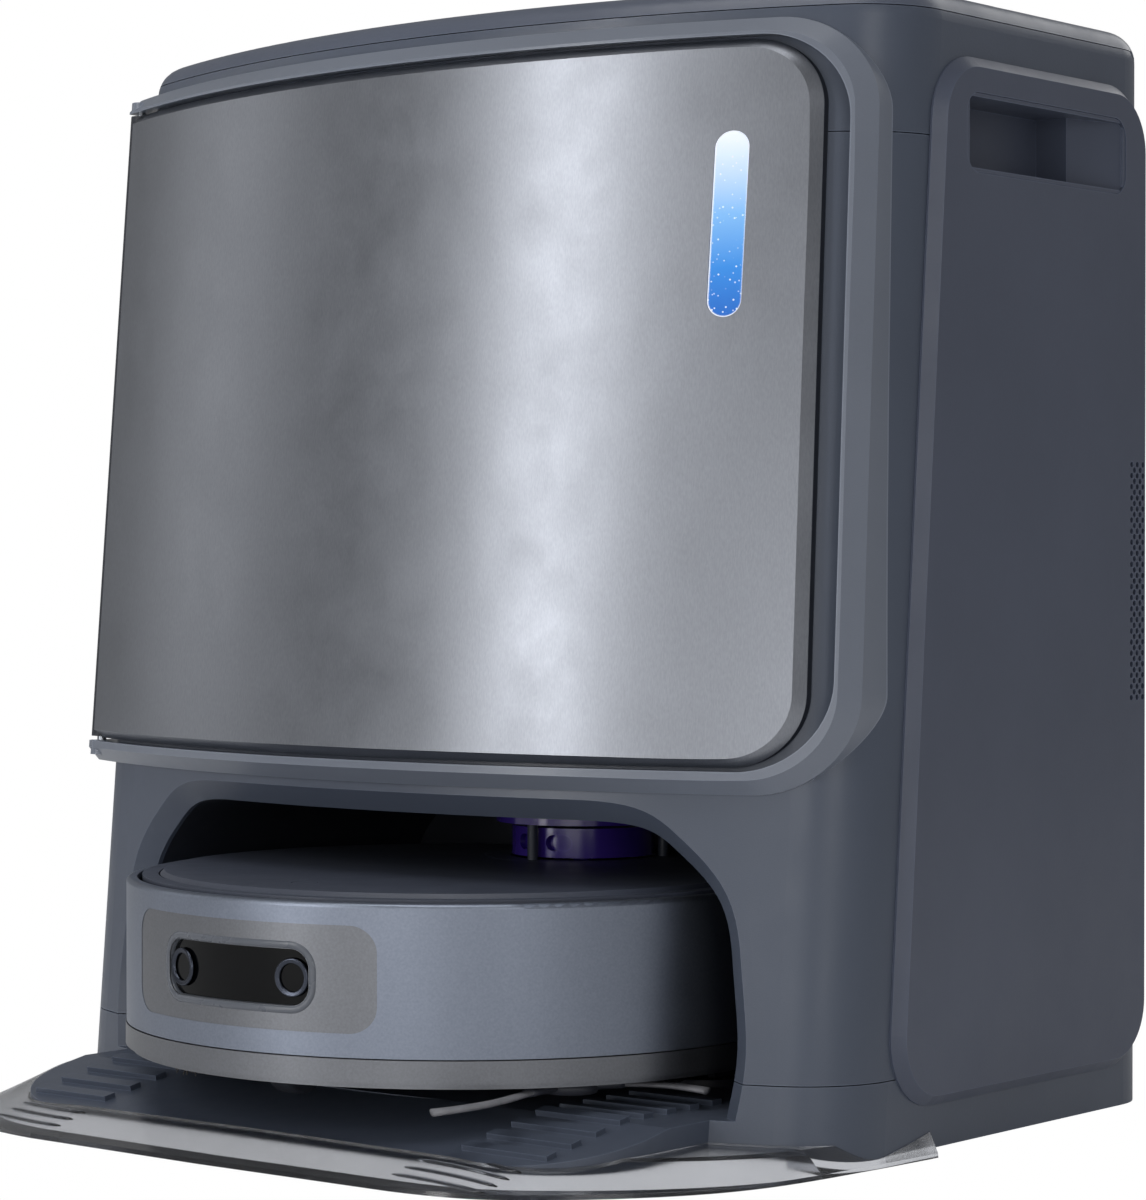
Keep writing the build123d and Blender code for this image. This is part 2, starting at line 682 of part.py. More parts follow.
def make_tank(side):
    """Open-topped water tank."""
    with BuildPart() as tank:
        add(tank_block(side, TANK_Z1))
        fillet(tank.edges().group_by(Axis.Z)[0], 8)
        add(tank_block(side, TANK_Z1 + 1, TANK_WALL), mode=Mode.SUBTRACT)
    return tank


def make_tank_lid(side):
    """Lid of a tank, with a plug that drops inside and two bosses for the handle."""
    with BuildPart() as lid:
        with BuildSketch(Plane.XY.offset(TANK_Z1 + 0.2)) as rim:
            with Locations((side * TANK_MID, (TANK_Y0 + TANK_Y1) / 2)):
                RectangleRounded(TANK_X1 - TANK_X0, TANK_Y1 - TANK_Y0, 18)
        extrude(amount=5)
        with BuildSketch(Plane.XY.offset(TANK_Z1 - 8)) as plug:
            inside = 2 * (TANK_WALL + 0.4)
            with Locations((side * TANK_MID, (TANK_Y0 + TANK_Y1) / 2)):
                RectangleRounded(TANK_X1 - TANK_X0 - inside, TANK_Y1 - TANK_Y0 - inside, 15)
                hollow_x = TANK_X1 - TANK_X0 - inside - 5
                hollow_y = TANK_Y1 - TANK_Y0 - inside - 5
                RectangleRounded(hollow_x, hollow_y, 13, mode=Mode.SUBTRACT)
        extrude(amount=8.2)
        for end in (-1, 1):
            boss_x = side * TANK_MID + end * (HANDLE_HALF - 4)
            low = (boss_x - 3, HANDLE_Y - 7, TANK_Z1 + 5)
            high = (boss_x + 3, HANDLE_Y + 7, HANDLE_Z + 5)
            add(box_between(low, high))
            add(tube_along("X", (boss_x, HANDLE_Y, HANDLE_Z), PIN_R + RUNNING, 0, 8), mode=Mode.SUBTRACT)
    return lid


def make_tank_handle(side):
    """Fold-flat bail handle of a tank."""
    mid = side * TANK_MID
    reach = 52.0
    with BuildPart() as handle:
        for end in (-1, 1):
            arm_x = mid + end * (HANDLE_HALF + 2.5)
            low = (arm_x - 2, HANDLE_Y - 5, HANDLE_Z - 4)
            add(box_between(low, (arm_x + 2, HANDLE_Y + reach, HANDLE_Z + 4)))
            pin_x = mid + end * (HANDLE_HALF - 3.4)
            add(tube_along("X", (pin_x, HANDLE_Y, HANDLE_Z), PIN_R, 0, 8))
        low = (mid - HANDLE_HALF - 4.5, HANDLE_Y + reach - 14, HANDLE_Z - 4)
        high = (mid + HANDLE_HALF + 4.5, HANDLE_Y + reach, HANDLE_Z + 4)
        add(box_between(low, high))
        fillet(handle.edges().filter_by(Axis.Z).group_by(Axis.Y)[-1], 10)
    return handle


# ---------------------------------------------------------------- dock: door
def door_outline(grow):
    """Door seen from the front, grown or shrunk all round."""
    return front_window(
        DOOR_LEFT,
        DOOR_HALF_BOTTOM + grow,
        DOOR_HALF_TOP + grow,
        DOOR_Z0 - DOOR_CHAMFER - grow,
        DOOR_Z1 + DOOR_CHAMFER + grow,
        32 + grow,
    )


def axis_point(z):
    """Point on the door's hinge axis, which leans like the front."""
    return Vector(DOOR_LEFT, front_y(z, DOOR_AXIS_DEPTH) + bow(DOOR_LEFT), z)


def hinge_rod(z0, z1, radius):
    """Round rod about the door's hinge axis between two heights."""
    lean = Vector(0, LEAN, 1).normalized()
    start = axis_point(z0)
    with BuildPart() as rod:
        with BuildSketch(Plane(origin=start, z_dir=lean)):
            Circle(radius)
        extrude(amount=(z1 - z0) * sqrt(1 + LEAN**2))
    return rod.part


def bar_slot(grow):
    """Outline of the light bar, seen from the front."""
    with BuildSketch(Plane.XZ) as slot:
        with Locations((BAR_X, (BAR_Z0 + BAR_Z1) / 2)):
            SlotOverall(BAR_Z1 - BAR_Z0 + 2 * grow, BAR_W + 2 * grow, rotation=90)
    return slot.sketch


def through(sketch):
    """A front-view outline run back through the whole front of the dock."""
    with BuildPart() as run:
        extrude(sketch, amount=130)
    return run.part


def make_door_skin():
    """Bowed metal face of the door with bevelled edges and the light bar's slot."""
    with BuildPart() as skin:
        add(through(door_outline(0)))
        add(front_slab(0, SKIN_THICK), mode=Mode.INTERSECT)
        face_edges = front_edges(skin, 0)
        chamfer(face_edges, DOOR_CHAMFER)
        add(hinge_rod(150, 530, KNUCKLE_R + 0.4), mode=Mode.SUBTRACT)
        add(through(bar_slot(0)), mode=Mode.SUBTRACT)
    return skin


def make_door_frame():
    """Plastic back of the door, with the hinge barrel down its left edge."""
    z0 = DOOR_Z0 - DOOR_CHAMFER
    z1 = DOOR_Z1 + DOOR_CHAMFER
    with BuildPart() as back:
        add(through(door_outline(-0.4)))
        add(front_slab(SKIN_THICK, DOOR_THICK), mode=Mode.INTERSECT)
        add(hinge_rod(z0 + 0.4, z1 - 0.4, KNUCKLE_R))
        add(through(bar_slot(3)), mode=Mode.SUBTRACT)
        add(hinge_rod(z0 - 10, z0 + 22, PIN_R + RUNNING), mode=Mode.SUBTRACT)
        add(hinge_rod(z1 - 22, z1 + 10, PIN_R + RUNNING), mode=Mode.SUBTRACT)
    return back


def front_edges(builder, depth):
    """Edges that lie on the bowed front surface at a given depth, apart from the left end."""

    def on_surface(edge):
        for share in (0.02, 0.5, 0.98):
            spot = edge.position_at(share)
            if abs(spot.Y - front_y(spot.Z, depth) - bow(spot.X)) > 0.05:
                return False
        return edge.position_at(0.5).X > DOOR_LEFT + 1

    return builder.edges().filter_by(on_surface)


def make_bezel():
    """Fixed frame round the door: top, right and bottom bars with a wide outer bevel."""
    outer = front_window(
        DOOR_LEFT - 7, FRAME_HALF_BOTTOM, FRAME_HALF_TOP, FRAME_Z0, FRAME_Z1, 44
    )
    opening = front_window(
        DOOR_LEFT - 30,
        FRAME_HALF_BOTTOM - FRAME_WIDTH,
        FRAME_HALF_TOP - FRAME_WIDTH,
        FRAME_INNER_Z0,
        FRAME_INNER_Z1,
        40,
    )
    with BuildPart() as bezel:
        add(through(outer))
        add(front_slab(0.5, 30), mode=Mode.INTERSECT)
        chamfer(front_edges(bezel, 0.5), FRAME_CHAMFER)
        add(through(opening), mode=Mode.SUBTRACT)
        # knuckles above and below the door that hold the ends of its pins
        for z0, z1 in ((FRAME_Z0 + 3, FRAME_INNER_Z0), (FRAME_INNER_Z1, FRAME_Z1 - 3)):
            add(hinge_rod(z0, z1, KNUCKLE_R))
        add(hinge_rod(FRAME_INNER_Z0 - 5, FRAME_INNER_Z1 + 5, PIN_R), mode=Mode.SUBTRACT)
        add(body_block(140, TOP_Z + 10), mode=Mode.SUBTRACT)
    return bezel


def make_hinge_pins():
    """Steel pins of the door's and the lid's hinges, held in the fixed frames."""
    z0 = DOOR_Z0 - DOOR_CHAMFER
    z1 = DOOR_Z1 + DOOR_CHAMFER
    with BuildPart() as pins:
        add(hinge_rod(FRAME_INNER_Z0 - 5, z0 + 20, PIN_R))
        add(hinge_rod(z1 - 20, FRAME_INNER_Z1 + 5, PIN_R))
        for side in (-1, 1):
            add(tube_along("X", (side * LID_EAR_X, LID_HINGE_Y, LID_HINGE_Z), PIN_R, 0, 32))
    return pins


def make_light_lens():
    """Clear capsule lens of the light bar."""
    with BuildPart() as lens:
        add(through(bar_slot(2.6)))
        add(front_slab(SKIN_THICK + 0.1, DOOR_THICK), mode=Mode.INTERSECT)
    with BuildPart() as window:
        add(through(bar_slot(-0.1)))
        add(front_slab(0.3, SKIN_THICK + 1), mode=Mode.INTERSECT)
        add(lens.part)
    return window


# ---------------------------------------------------------------- dock: inside
def make_dust_bag():
    """Filled dust bag behind the door."""
    with BuildPart() as bag:
        with BuildSketch(Plane.XY.offset(BAG_Z0)):
            with Locations((0, (BAG_Y0 + BAG_Y1) / 2)):
                RectangleRounded(2 * BAG_HALF, BAG_Y1 - BAG_Y0, 18)
        extrude(amount=BAG_Z1 - BAG_Z0)
        fillet(bag.edges().group_by(Axis.Z)[0] + bag.edges().group_by(Axis.Z)[-1], 12)
    return bag


def make_suction_fan():
    """Fan that empties the robot's bin: round housing on a foot."""
    centre = (-110, 178, 95)
    with BuildPart() as fan:
        add(tube_along("X", centre, 30, 0, 90))
        add(tube_along("X", (-58, 178, 95), 18, 14, 14))
        add(box_between((-140, 160, FLOOR_Z), (-80, 196, 70)))
    return fan


def make_water_pumps():
    """Two small pumps, one for clean water and one for dirty."""
    with BuildPart() as pumps:
        for x in (20, 62):
            add(tube_along("Z", (x, 178, 58), 15, 0, 60))
            add(tube_along("Z", (x, 178, 96), 5, 3, 16))
            add(box_between((x - 16, 162, FLOOR_Z), (x + 16, 194, 28)))
    return pumps


def make_dryer():
    """Blower and heater that dry the mop pads."""
    with BuildPart() as dryer:
        add(tube_along("Y", (125, 175, 70), 26, 0, 40))
        add(box_between((99, 155, 70), (125, 195, 110)))
        add(box_between((108, 160, FLOOR_Z), (142, 190, 46)))
    return dryer


def make_control_board():
    """Power and control board on the deck's underside side, upright behind the bay."""
    with BuildPart() as board:
        add(box_between((-40, 203, 45), (150, 205, 150)))
        with Locations((0, 200.5, 120), (45, 200.5, 125), (90, 200.5, 120)):
            Box(28, 6, 34)
    return board


def make_power_inlet():
    """Two-pin mains inlet with a recessed mouth."""
    with BuildPart() as inlet:
        low = (INLET_X - INLET_W / 2, BACK_Y - 22, INLET_Z - INLET_H / 2)
        add(box_between(low, (INLET_X + INLET_W / 2, BACK_Y - 0.5, INLET_Z + INLET_H / 2)))
        fillet(inlet.edges().filter_by(Axis.Y), 3.8)
        with BuildSketch(Plane.XZ.offset(-BACK_Y + 0.5)):
            with Locations((INLET_X, INLET_Z)):
                RectangleRounded(INLET_W - 8, INLET_H - 8, 3)
        extrude(amount=-14, mode=Mode.SUBTRACT)
        for side in (-1, 1):
            add(tube_along("Y", (INLET_X + side * 4.3, BACK_Y - 9, INLET_Z), 1.2, 0, 12))
    return inlet


def make_dock_contacts():
    """Sprung charging pins at the back of the bay."""
    tip_y = CONTACT_Y + 1.3
    with BuildPart() as contacts:
        for side in (-1, 1):
            mid = (tip_y + BAY_BACK + 8) / 2
            add(tube_along("Y", (side * CONTACT_X, mid, CONTACT_Z), CONTACT_R, 0, BAY_BACK + 8 - tip_y))
        low = (-CONTACT_X - 8, BAY_BACK + 8, CONTACT_Z - 8)
        add(box_between(low, (CONTACT_X + 8, BAY_BACK + 10, CONTACT_Z + 8)))
    return contacts


def make_washboard():
    """Ribbed basin that scrubs the mop pads."""
    with BuildPart() as board:
        add(box_between((-132, BOARD_Y0, TRAY_Z - RIB_H + 0.1), (132, BOARD_Y1, TRAY_Z + 1)))
        fillet(board.edges().filter_by(Axis.Z), 16)
        with Locations((0, (BOARD_Y0 + BOARD_Y1) / 2, TRAY_Z + 2)):
            with GridLocations(16, 0, 16, 1):
                Box(4, BOARD_Y1 - BOARD_Y0 - 24, 3.2)
    return board


def make_rubber_feet():
    """Round rubber feet under the base."""
    with BuildPart() as feet:
        with BuildSketch():
            with Locations(FOOT_PLACES):
                Circle(FOOT_R)
        extrude(amount=BASE_Z0)
    return feet


def make_case_screws():
    """Screws through the rear cover."""
    with BuildPart() as screws:
        for x, z in SCREW_PLACES:
            add(tube_along("Y", (x, BACK_Y - 1.6, z), SCREW_R - 0.1, 0, 2.6))
            add(tube_along("Y", (x, BACK_Y - 0.2, z), 1.5, 0, 1), mode=Mode.SUBTRACT)
    return screws


# ---------------------------------------------------------------- robot: shell
def make_chassis():
    """Round pan with the flared skirt, wheel wells and openings for brush, hubs and caster."""
    with BuildPart() as chassis:
        with Locations((0, ROBOT_Y, 0)):
            with Locations((0, 0, (SKIRT_Z0 + SKIRT_Z1) / 2)):
                Cylinder(ROBOT_R, SKIRT_Z1 - SKIRT_Z0 - SEAM)
                Cylinder(ROBOT_R - 4, 30, mode=Mode.SUBTRACT)
            with Locations((0, 0, PAN_Z + 1.5)):
                Cylinder(ROBOT_R - 3, 3)
            with Locations((0, 0, (PAN_Z + ROBOT_DECK_Z) / 2)):
                Cylinder(PAN_WALL_R, ROBOT_DECK_Z - PAN_Z)
            with Locations((0, 0, (PAN_Z + 3 + ROBOT_DECK_Z) / 2 + 5)):
                Cylinder(PAN_WALL_R - ROBOT_WALL, ROBOT_DECK_Z - PAN_Z + 7, mode=Mode.SUBTRACT)
        with BuildSketch(Plane.XY.offset(PAN_Z - 1)):
            with Locations((-WHEEL_X, WHEEL_Y), (WHEEL_X, WHEEL_Y)):
                Rectangle(WHEEL_W + 14, 2 * WHEEL_R + 8)
            with Locations((0, ROLLER_Y)):
                Rectangle(2 * ROLLER_HALF + 14, 2 * ROLLER_R + 8)
            with Locations((-BRUSH_X, BRUSH_Y), (BRUSH_X, BRUSH_Y)):
                Circle(8.4)
            with Locations((0, CASTER_Y)):
                Circle(CASTER_WELL_R)
            with Locations((-MOP_X, MOP_Y), (MOP_X, MOP_Y)):
                Circle(11.4)
        extrude(amount=8, mode=Mode.SUBTRACT)
        # blocks that hold the roller's axle, brackets for the arms' pins, socket of the caster
        for side in (-1, 1):
            block_x = side * (ROLLER_HALF + 4.5)
            low = (block_x - 2.5, ROLLER_Y - 9, PAN_Z)
            add(box_between(low, (block_x + 2.5, ROLLER_Y + 9, ROLLER_Z + 8)))
            add(tube_along("X", (block_x, ROLLER_Y, ROLLER_Z), 4 + BEARING, 0, 7), mode=Mode.SUBTRACT)
            arm_x = side * ARM_X
            for end in (-1, 1):
                x = arm_x + end * 5
                add(box_between((x - 2, PIVOT_Y - 5, PAN_Z + 1), (x + 2, PIVOT_Y + 5, PIVOT_Z + 5)))
            add(tube_along("X", (arm_x, PIVOT_Y, PIVOT_Z), 2.5 + BEARING, 0, 20), mode=Mode.SUBTRACT)
            post_x = side * (CASTER_WELL_R + 2.5)
            add(box_between((post_x - 1.5, CASTER_Y - 8, PAN_Z + 1), (post_x + 1.5, CASTER_Y + 8, 75)))
        add(tube_along("Z", (0, CASTER_Y, 66), 11, 0, 12))
        add(tube_along("Z", (0, CASTER_Y, 73.5), CASTER_WELL_R + 4, 0, 3))
        add(tube_along("Z", (0, CASTER_Y, 66), 5 + BEARING, 0, 12.01), mode=Mode.SUBTRACT)
    return chassis


def shell_ring(angle_from, angle_to):
    """Upright part of the robot's side wall with a rounded top edge."""
    with BuildPart() as ring:
        with BuildSketch(Plane.XY.offset(SKIRT_Z1 + 0.3)):
            add(ring_sector(ROBOT_R - 0.4, ROBOT_R - 0.4 - ROBOT_WALL, angle_from, angle_to))
        extrude(amount=RIM_Z - SKIRT_Z1 - 0.3)
        with BuildSketch(Plane.XY.offset(RIM_Z - 2.5)):
            add(ring_sector(ROBOT_R - 1, RIM_INNER_R, angle_from, angle_to))
        extrude(amount=2.5)
        top_arcs = ring.edges().group_by(Axis.Z)[-1].filter_by(GeomType.CIRCLE)
        fillet(top_arcs.sort_by(SortBy.RADIUS)[-1], 2.2)
    return ring


def make_bumper():
    """Sprung front bumper with the opening for the sensor panel."""
    with BuildPart() as bumper:
        add(shell_ring(-90 - BUMPER_SPAN, -90 + BUMPER_SPAN).part)
        add(sensor_cut(PANEL_ARC, SENSOR_PANEL_Z0, SENSOR_PANEL_Z1, 12), mode=Mode.SUBTRACT)
    return bumper


def sensor_cut(half_angle, z0, z1, corner):
    """Rounded window through the front of the robot's wall."""
    half_width = ROBOT_R * sin(radians(half_angle))
    with BuildPart() as cut:
        with BuildSketch(Plane.XZ.offset(-ROBOT_Y)):
            with Locations((0, (z0 + z1) / 2)):
                RectangleRounded(2 * half_width, z1 - z0, corner)
        extrude(amount=ROBOT_R + 10)
    return cut.part


def robot_ring(outer, inner, z0, z1):
    """Full ring about the robot's centre."""
    with BuildPart() as ring:
        with BuildSketch(Plane.XY.offset(z0)):
            with Locations((0, ROBOT_Y)):
                Circle(outer)
                Circle(inner, mode=Mode.SUBTRACT)
        extrude(amount=z1 - z0)
    return ring.part


def make_sensor_panel():
    """Panel let into the bumper, with a bevelled opening for the dark window."""
    with BuildPart() as panel:
        add(robot_ring(ROBOT_R - 0.6, ROBOT_R - 5, SKIRT_Z1, RIM_Z))
        grown = sensor_cut(PANEL_ARC, SENSOR_PANEL_Z0, SENSOR_PANEL_Z1, 12)
        add(grown, mode=Mode.INTERSECT)
        add(sensor_cut(WINDOW_ARC, WINDOW_Z0, WINDOW_Z1, WINDOW_CORNER), mode=Mode.SUBTRACT)
    return panel


def make_sensor_window():
    """Glossy dark window with two round holes for the lenses."""
    with BuildPart() as window:
        add(robot_ring(ROBOT_R - 3, ROBOT_R - 5.5, SKIRT_Z1, RIM_Z))
        gap = 0.35
        inside = sensor_cut(WINDOW_ARC - 0.15, WINDOW_Z0 + gap, WINDOW_Z1 - gap, WINDOW_CORNER - gap)
        add(inside, mode=Mode.INTERSECT)
        for side in (-1, 1):
            angle = -90 + side * LENS_ANGLE
            spot = (ROBOT_R * cos(radians(angle)), ROBOT_Y + ROBOT_R * sin(radians(angle)), LENS_Z)
            add(lens_rod(spot, angle, LENS_R + 0.1, 20), mode=Mode.SUBTRACT)
    return window


def lens_rod(spot, angle, radius, length):
    """Short rod along the outward direction at an angle round the robot."""
    outward = Vector(cos(radians(angle)), sin(radians(angle)), 0)
    with BuildPart() as rod:
        with BuildSketch(Plane(origin=spot, z_dir=outward)):
            Circle(radius)
        extrude(amount=length / 2, both=True)
    return rod.part


def make_sensor_lenses():
    """Two domed lenses in the window."""
    with BuildPart() as lenses:
        for side in (-1, 1):
            angle = -90 + side * LENS_ANGLE
            reach = ROBOT_R - 4.3
            spot = (reach * cos(radians(angle)), ROBOT_Y + reach * sin(radians(angle)), LENS_Z)
            add(lens_rod(spot, angle, LENS_R, 3.6))
    return lenses


def charging_pad(side):
    """One round charging pad let into the robot's back."""
    return tube_along("Y", (side * CONTACT_X, CONTACT_Y + 0.2, CONTACT_Z), 6, 0, 1.2)


def make_rear_shell():
    """Fixed rear part of the robot's side wall with two charging pads."""
    with BuildPart() as shell:
        add(shell_ring(-90 + BUMPER_SPAN + BUMPER_GAP, 270 - BUMPER_SPAN - BUMPER_GAP).part)
        for side in (-1, 1):
            add(charging_pad(side), mode=Mode.SUBTRACT)
    return shell


def turret_post(turn, z0, z1, radius):
    """One of the three posts that carry the turret's cap."""
    angle = radians(POST_ANGLE + 120 * turn)
    centre = (POST_R * cos(angle), TURRET_Y + POST_R * sin(angle), (z0 + z1) / 2)
    return tube_along("Z", centre, radius, 0, z1 - z0)


def make_robot_deck():
    """Fixed ring round the lid, the ledge under it, the turret's seat and the key's tongue."""
    seat_mid = (ROBOT_DECK_Z + ROBOT_LID_Z1) / 2
    with BuildPart() as deck:
        add(robot_ring(RIM_INNER_R - 2.5, LID_R + 0.8, ROBOT_DECK_Z, RIM_Z + 1.2))
        add(robot_ring(LID_R + 3, LID_R - 6, ROBOT_DECK_Z, ROBOT_DECK_Z + 2))
        add(tube_along("Z", (0, TURRET_Y, seat_mid), SEAT_R, SEAT_R - 3, ROBOT_LID_Z1 - ROBOT_DECK_Z))
        add(tube_along("Z", (0, TURRET_Y, ROBOT_DECK_Z + 1.5), SEAT_R, 5.2, 3))
        add(tube_along("Z", (0, TURRET_Y, ROBOT_LID_Z1 - 1.5), SEAT_R, TURRET_HEAD_R + 1, 3))
        for turn in range(3):
            add(turret_post(turn, ROBOT_LID_Z1 - 2.5, TURRET_Z1 + 2.5, 2.6))
        tongue_low = (-9, ROBOT_Y - LID_R - 1, ROBOT_DECK_Z)
        add(box_between(tongue_low, (9, BUTTON_Y + 9, ROBOT_DECK_Z + 2)))
        add(tube_along("Z", (0, BUTTON_Y, ROBOT_DECK_Z), 2.3, 0, 10), mode=Mode.SUBTRACT)
    return deck


def make_robot_lid():
    """Lift-off lid over the bin, with holes for the turret and the key."""
    with BuildPart() as lid:
        add(robot_ring(LID_R, 0.01, ROBOT_DECK_Z + 2.3, ROBOT_LID_Z1 - 2))
        with BuildSketch(Plane.XY.offset(ROBOT_LID_Z1 - 2)):
            with Locations((0, ROBOT_Y)):
                Circle(LID_R)
        extrude(amount=2, taper=45)
        add(tube_along("Z", (0, TURRET_Y, ROBOT_LID_Z1), SEAT_R + 0.6, 0, 30), mode=Mode.SUBTRACT)
        add(tube_along("Z", (0, BUTTON_Y, ROBOT_LID_Z1), BUTTON_R + 0.4, 0, 30), mode=Mode.SUBTRACT)
    return lid


def make_power_button():
    """Round key standing through the lid, on a thin stem."""
    key_z0 = ROBOT_DECK_Z + 4
    with BuildPart() as key:
        add(tube_along("Z", (0, BUTTON_Y, (key_z0 + ROBOT_LID_Z1) / 2), BUTTON_R, 0, ROBOT_LID_Z1 - key_z0))
        fillet(key.edges().group_by(Axis.Z)[-1], 0.6)
        add(tube_along("Z", (0, BUTTON_Y, ROBOT_DECK_Z + 1), 2, 0, 7))
    return key


def make_turret_head():
    """Spinning distance sensor: a drum with a port, on a short shaft."""
    drum_z1 = TURRET_Z1 - 2
    drum_mid = (TURRET_Z0 + drum_z1) / 2
    shaft_z0 = ROBOT_DECK_Z - 4
    with BuildPart() as head:
        add(tube_along("Z", (0, TURRET_Y, drum_mid), TURRET_HEAD_R, 0, drum_z1 - TURRET_Z0))
        add(tube_along("Z", (0, TURRET_Y, (shaft_z0 + TURRET_Z0) / 2), 5.14, 0, TURRET_Z0 - shaft_z0))
        with BuildSketch(Plane.XZ.offset(-TURRET_Y)):
            with Locations((-8, drum_mid), (11, drum_mid)):
                SlotOverall(13, 8)
        extrude(amount=TURRET_HEAD_R + 5, mode=Mode.SUBTRACT)
        add(tube_along("Z", (0, TURRET_Y, drum_mid), TURRET_HEAD_R - 4, 0, drum_z1 - TURRET_Z0))
    return head


def make_turret_cap():
    """Cap over the turret that presses down when it meets furniture."""
    cap_mid = (TURRET_Z1 + CAP_Z1) / 2
    with BuildPart() as cap:
        add(tube_along("Z", (0, TURRET_Y, cap_mid), TURRET_CAP_R, 0, CAP_Z1 - TURRET_Z1))
        fillet(cap.edges().group_by(Axis.Z)[-1], 3)
        for turn in range(3):
            add(turret_post(turn, TURRET_Z1 - 2, TURRET_Z1 + 5, 3.2), mode=Mode.SUBTRACT)
    return cap


# ---------------------------------------------------------------- robot: running gear
def make_side_brush_right():
    """Two rubbery strips on a hub, which sweep the edge."""
    with BuildPart() as brush:
        add(tube_along("Z", (BRUSH_X, BRUSH_Y, 41), 8, 0, 22))
        add(tube_along("Z", (BRUSH_X, BRUSH_Y, 32.5), 13, 0, 5))
        for angle in (BRUSH_STRIP_ANGLE, BRUSH_STRIP_ANGLE + 180):
            x_dir = (cos(radians(angle)), sin(radians(angle)), 0)
            with BuildSketch(Plane(origin=(BRUSH_X, BRUSH_Y, 31), x_dir=x_dir)):
                with Locations((BRUSH_REACH / 2 + 5, 0)):
                    Rectangle(BRUSH_REACH - 10, 5)
            extrude(amount=3)
    return brush


def make_side_brush_left():
    """Bristle brush on a hub with two tufts."""
    with BuildPart() as brush:
        add(tube_along("Z", (-BRUSH_X, BRUSH_Y, 41), 8, 0, 22))
        add(tube_along("Z", (-BRUSH_X, BRUSH_Y, 32.5), 13, 0, 5))
        for turn in range(2):
            angle = radians(BRUSH_TUFT_ANGLE + 180 * turn)
            x_dir = (cos(angle), sin(angle), 0)
            with BuildSketch(Plane(origin=(-BRUSH_X, BRUSH_Y, 29), x_dir=x_dir)):
                with BuildLine():
                    Polyline((10, -3), (BRUSH_REACH, -9), (BRUSH_REACH, 9), (10, 3), (10, -3))
                make_face()
            extrude(amount=4)
    return brush


def make_main_brush():
    """Roller with four straight flaps on an axle."""
    with BuildPart() as roller:
        add(tube_along("X", (0, ROLLER_Y, ROLLER_Z), 12, 0, 2 * ROLLER_HALF))
        add(tube_along("X", (0, ROLLER_Y, ROLLER_Z), 4, 0, 2 * ROLLER_HALF + 8))
        for turn in range(6):
            with Locations(Location((0, ROLLER_Y, ROLLER_Z), (60 * turn, 0, 0))):
                with Locations((0, 0, (12 + ROLLER_R) / 2 - 0.5)):
                    Box(2 * ROLLER_HALF, 2.4, ROLLER_R - 11)
    return roller


def make_wheel_arm(side):
    """Suspension arm: a link from its pivot pin to the wheel's axle."""
    arm_x = side * ARM_X
    with BuildPart() as arm:
        add(box_between((arm_x - 2, WHEEL_Y - 6, WHEEL_Z - 6), (arm_x + 2, PIVOT_Y, WHEEL_Z + 6)))
        add(box_between((arm_x - 2, PIVOT_Y - 7, WHEEL_Z - 6), (arm_x + 2, PIVOT_Y + 5, PIVOT_Z + 5)))
        axle_mid = side * (WHEEL_X - 2)
        add(tube_along("X", (axle_mid, WHEEL_Y, WHEEL_Z), 3, 0, WHEEL_W + 7))
        add(tube_along("X", (arm_x, PIVOT_Y, PIVOT_Z), 2.5, 0, 16))
    return arm


def make_drive_wheel(side):
    """Drive wheel with a treaded tyre and a bore for the axle."""
    with BuildPart() as wheel:
        add(tube_along("X", (side * WHEEL_X, WHEEL_Y, WHEEL_Z), WHEEL_R, 3 + BEARING, WHEEL_W))
        for turn in range(24):
            with Locations(Location((side * WHEEL_X, WHEEL_Y, WHEEL_Z), (15 * turn, 0, 0))):
                with Locations((0, 0, WHEEL_R)):
                    Box(WHEEL_W + 2, 2.4, 2.4, mode=Mode.SUBTRACT)
    return wheel


def make_caster_fork():
    """Swivelling fork of the front caster, on a stem."""
    with BuildPart() as fork:
        add(tube_along("Z", (0, CASTER_Y, 62), 5, 0, 20))
        add(tube_along("Z", (0, CASTER_Y, 52.5), 16, 0, 3))
        for side in (-1, 1):
            add(box_between((side * 10 - 1.5, CASTER_Y - 5, 33), (side * 10 + 1.5, CASTER_Y + 5, 52)))
            bore = tube_along("X", (side * 10, CASTER_Y, CASTER_R + TRAY_Z + 0.3), 2 + BEARING, 0, 8)
            add(bore, mode=Mode.SUBTRACT)
    return fork


def make_caster_wheel():
    """Small caster wheel with its axle."""
    centre = (0, CASTER_Y, CASTER_R + TRAY_Z + 0.3)
    with BuildPart() as wheel:
        add(tube_along("X", centre, CASTER_R, 0, 14))
        fillet(wheel.edges().filter_by(GeomType.CIRCLE), 2)
        add(tube_along("X", centre, 2, 0, 23))
    return wheel


def make_mop_plate(side):
    """Carrier disc of a mop pad, with its drive hub."""
    with BuildPart() as plate:
        add(tube_along("Z", (side * MOP_X, MOP_Y, PAD_Z1 + 1), MOP_R - 3, 0, 2))
        add(tube_along("Z", (side * MOP_X, MOP_Y, 45), 11, 0, 20))
    return plate


def make_mop_pad(side):
    """Round mop pad."""
    with BuildPart() as pad:
        add(tube_along("Z", (side * MOP_X, MOP_Y, (PAD_Z0 + PAD_Z1) / 2), MOP_R, 0, PAD_Z1 - PAD_Z0))
        fillet(pad.edges().group_by(Axis.Z)[0], 1.5)
    return pad


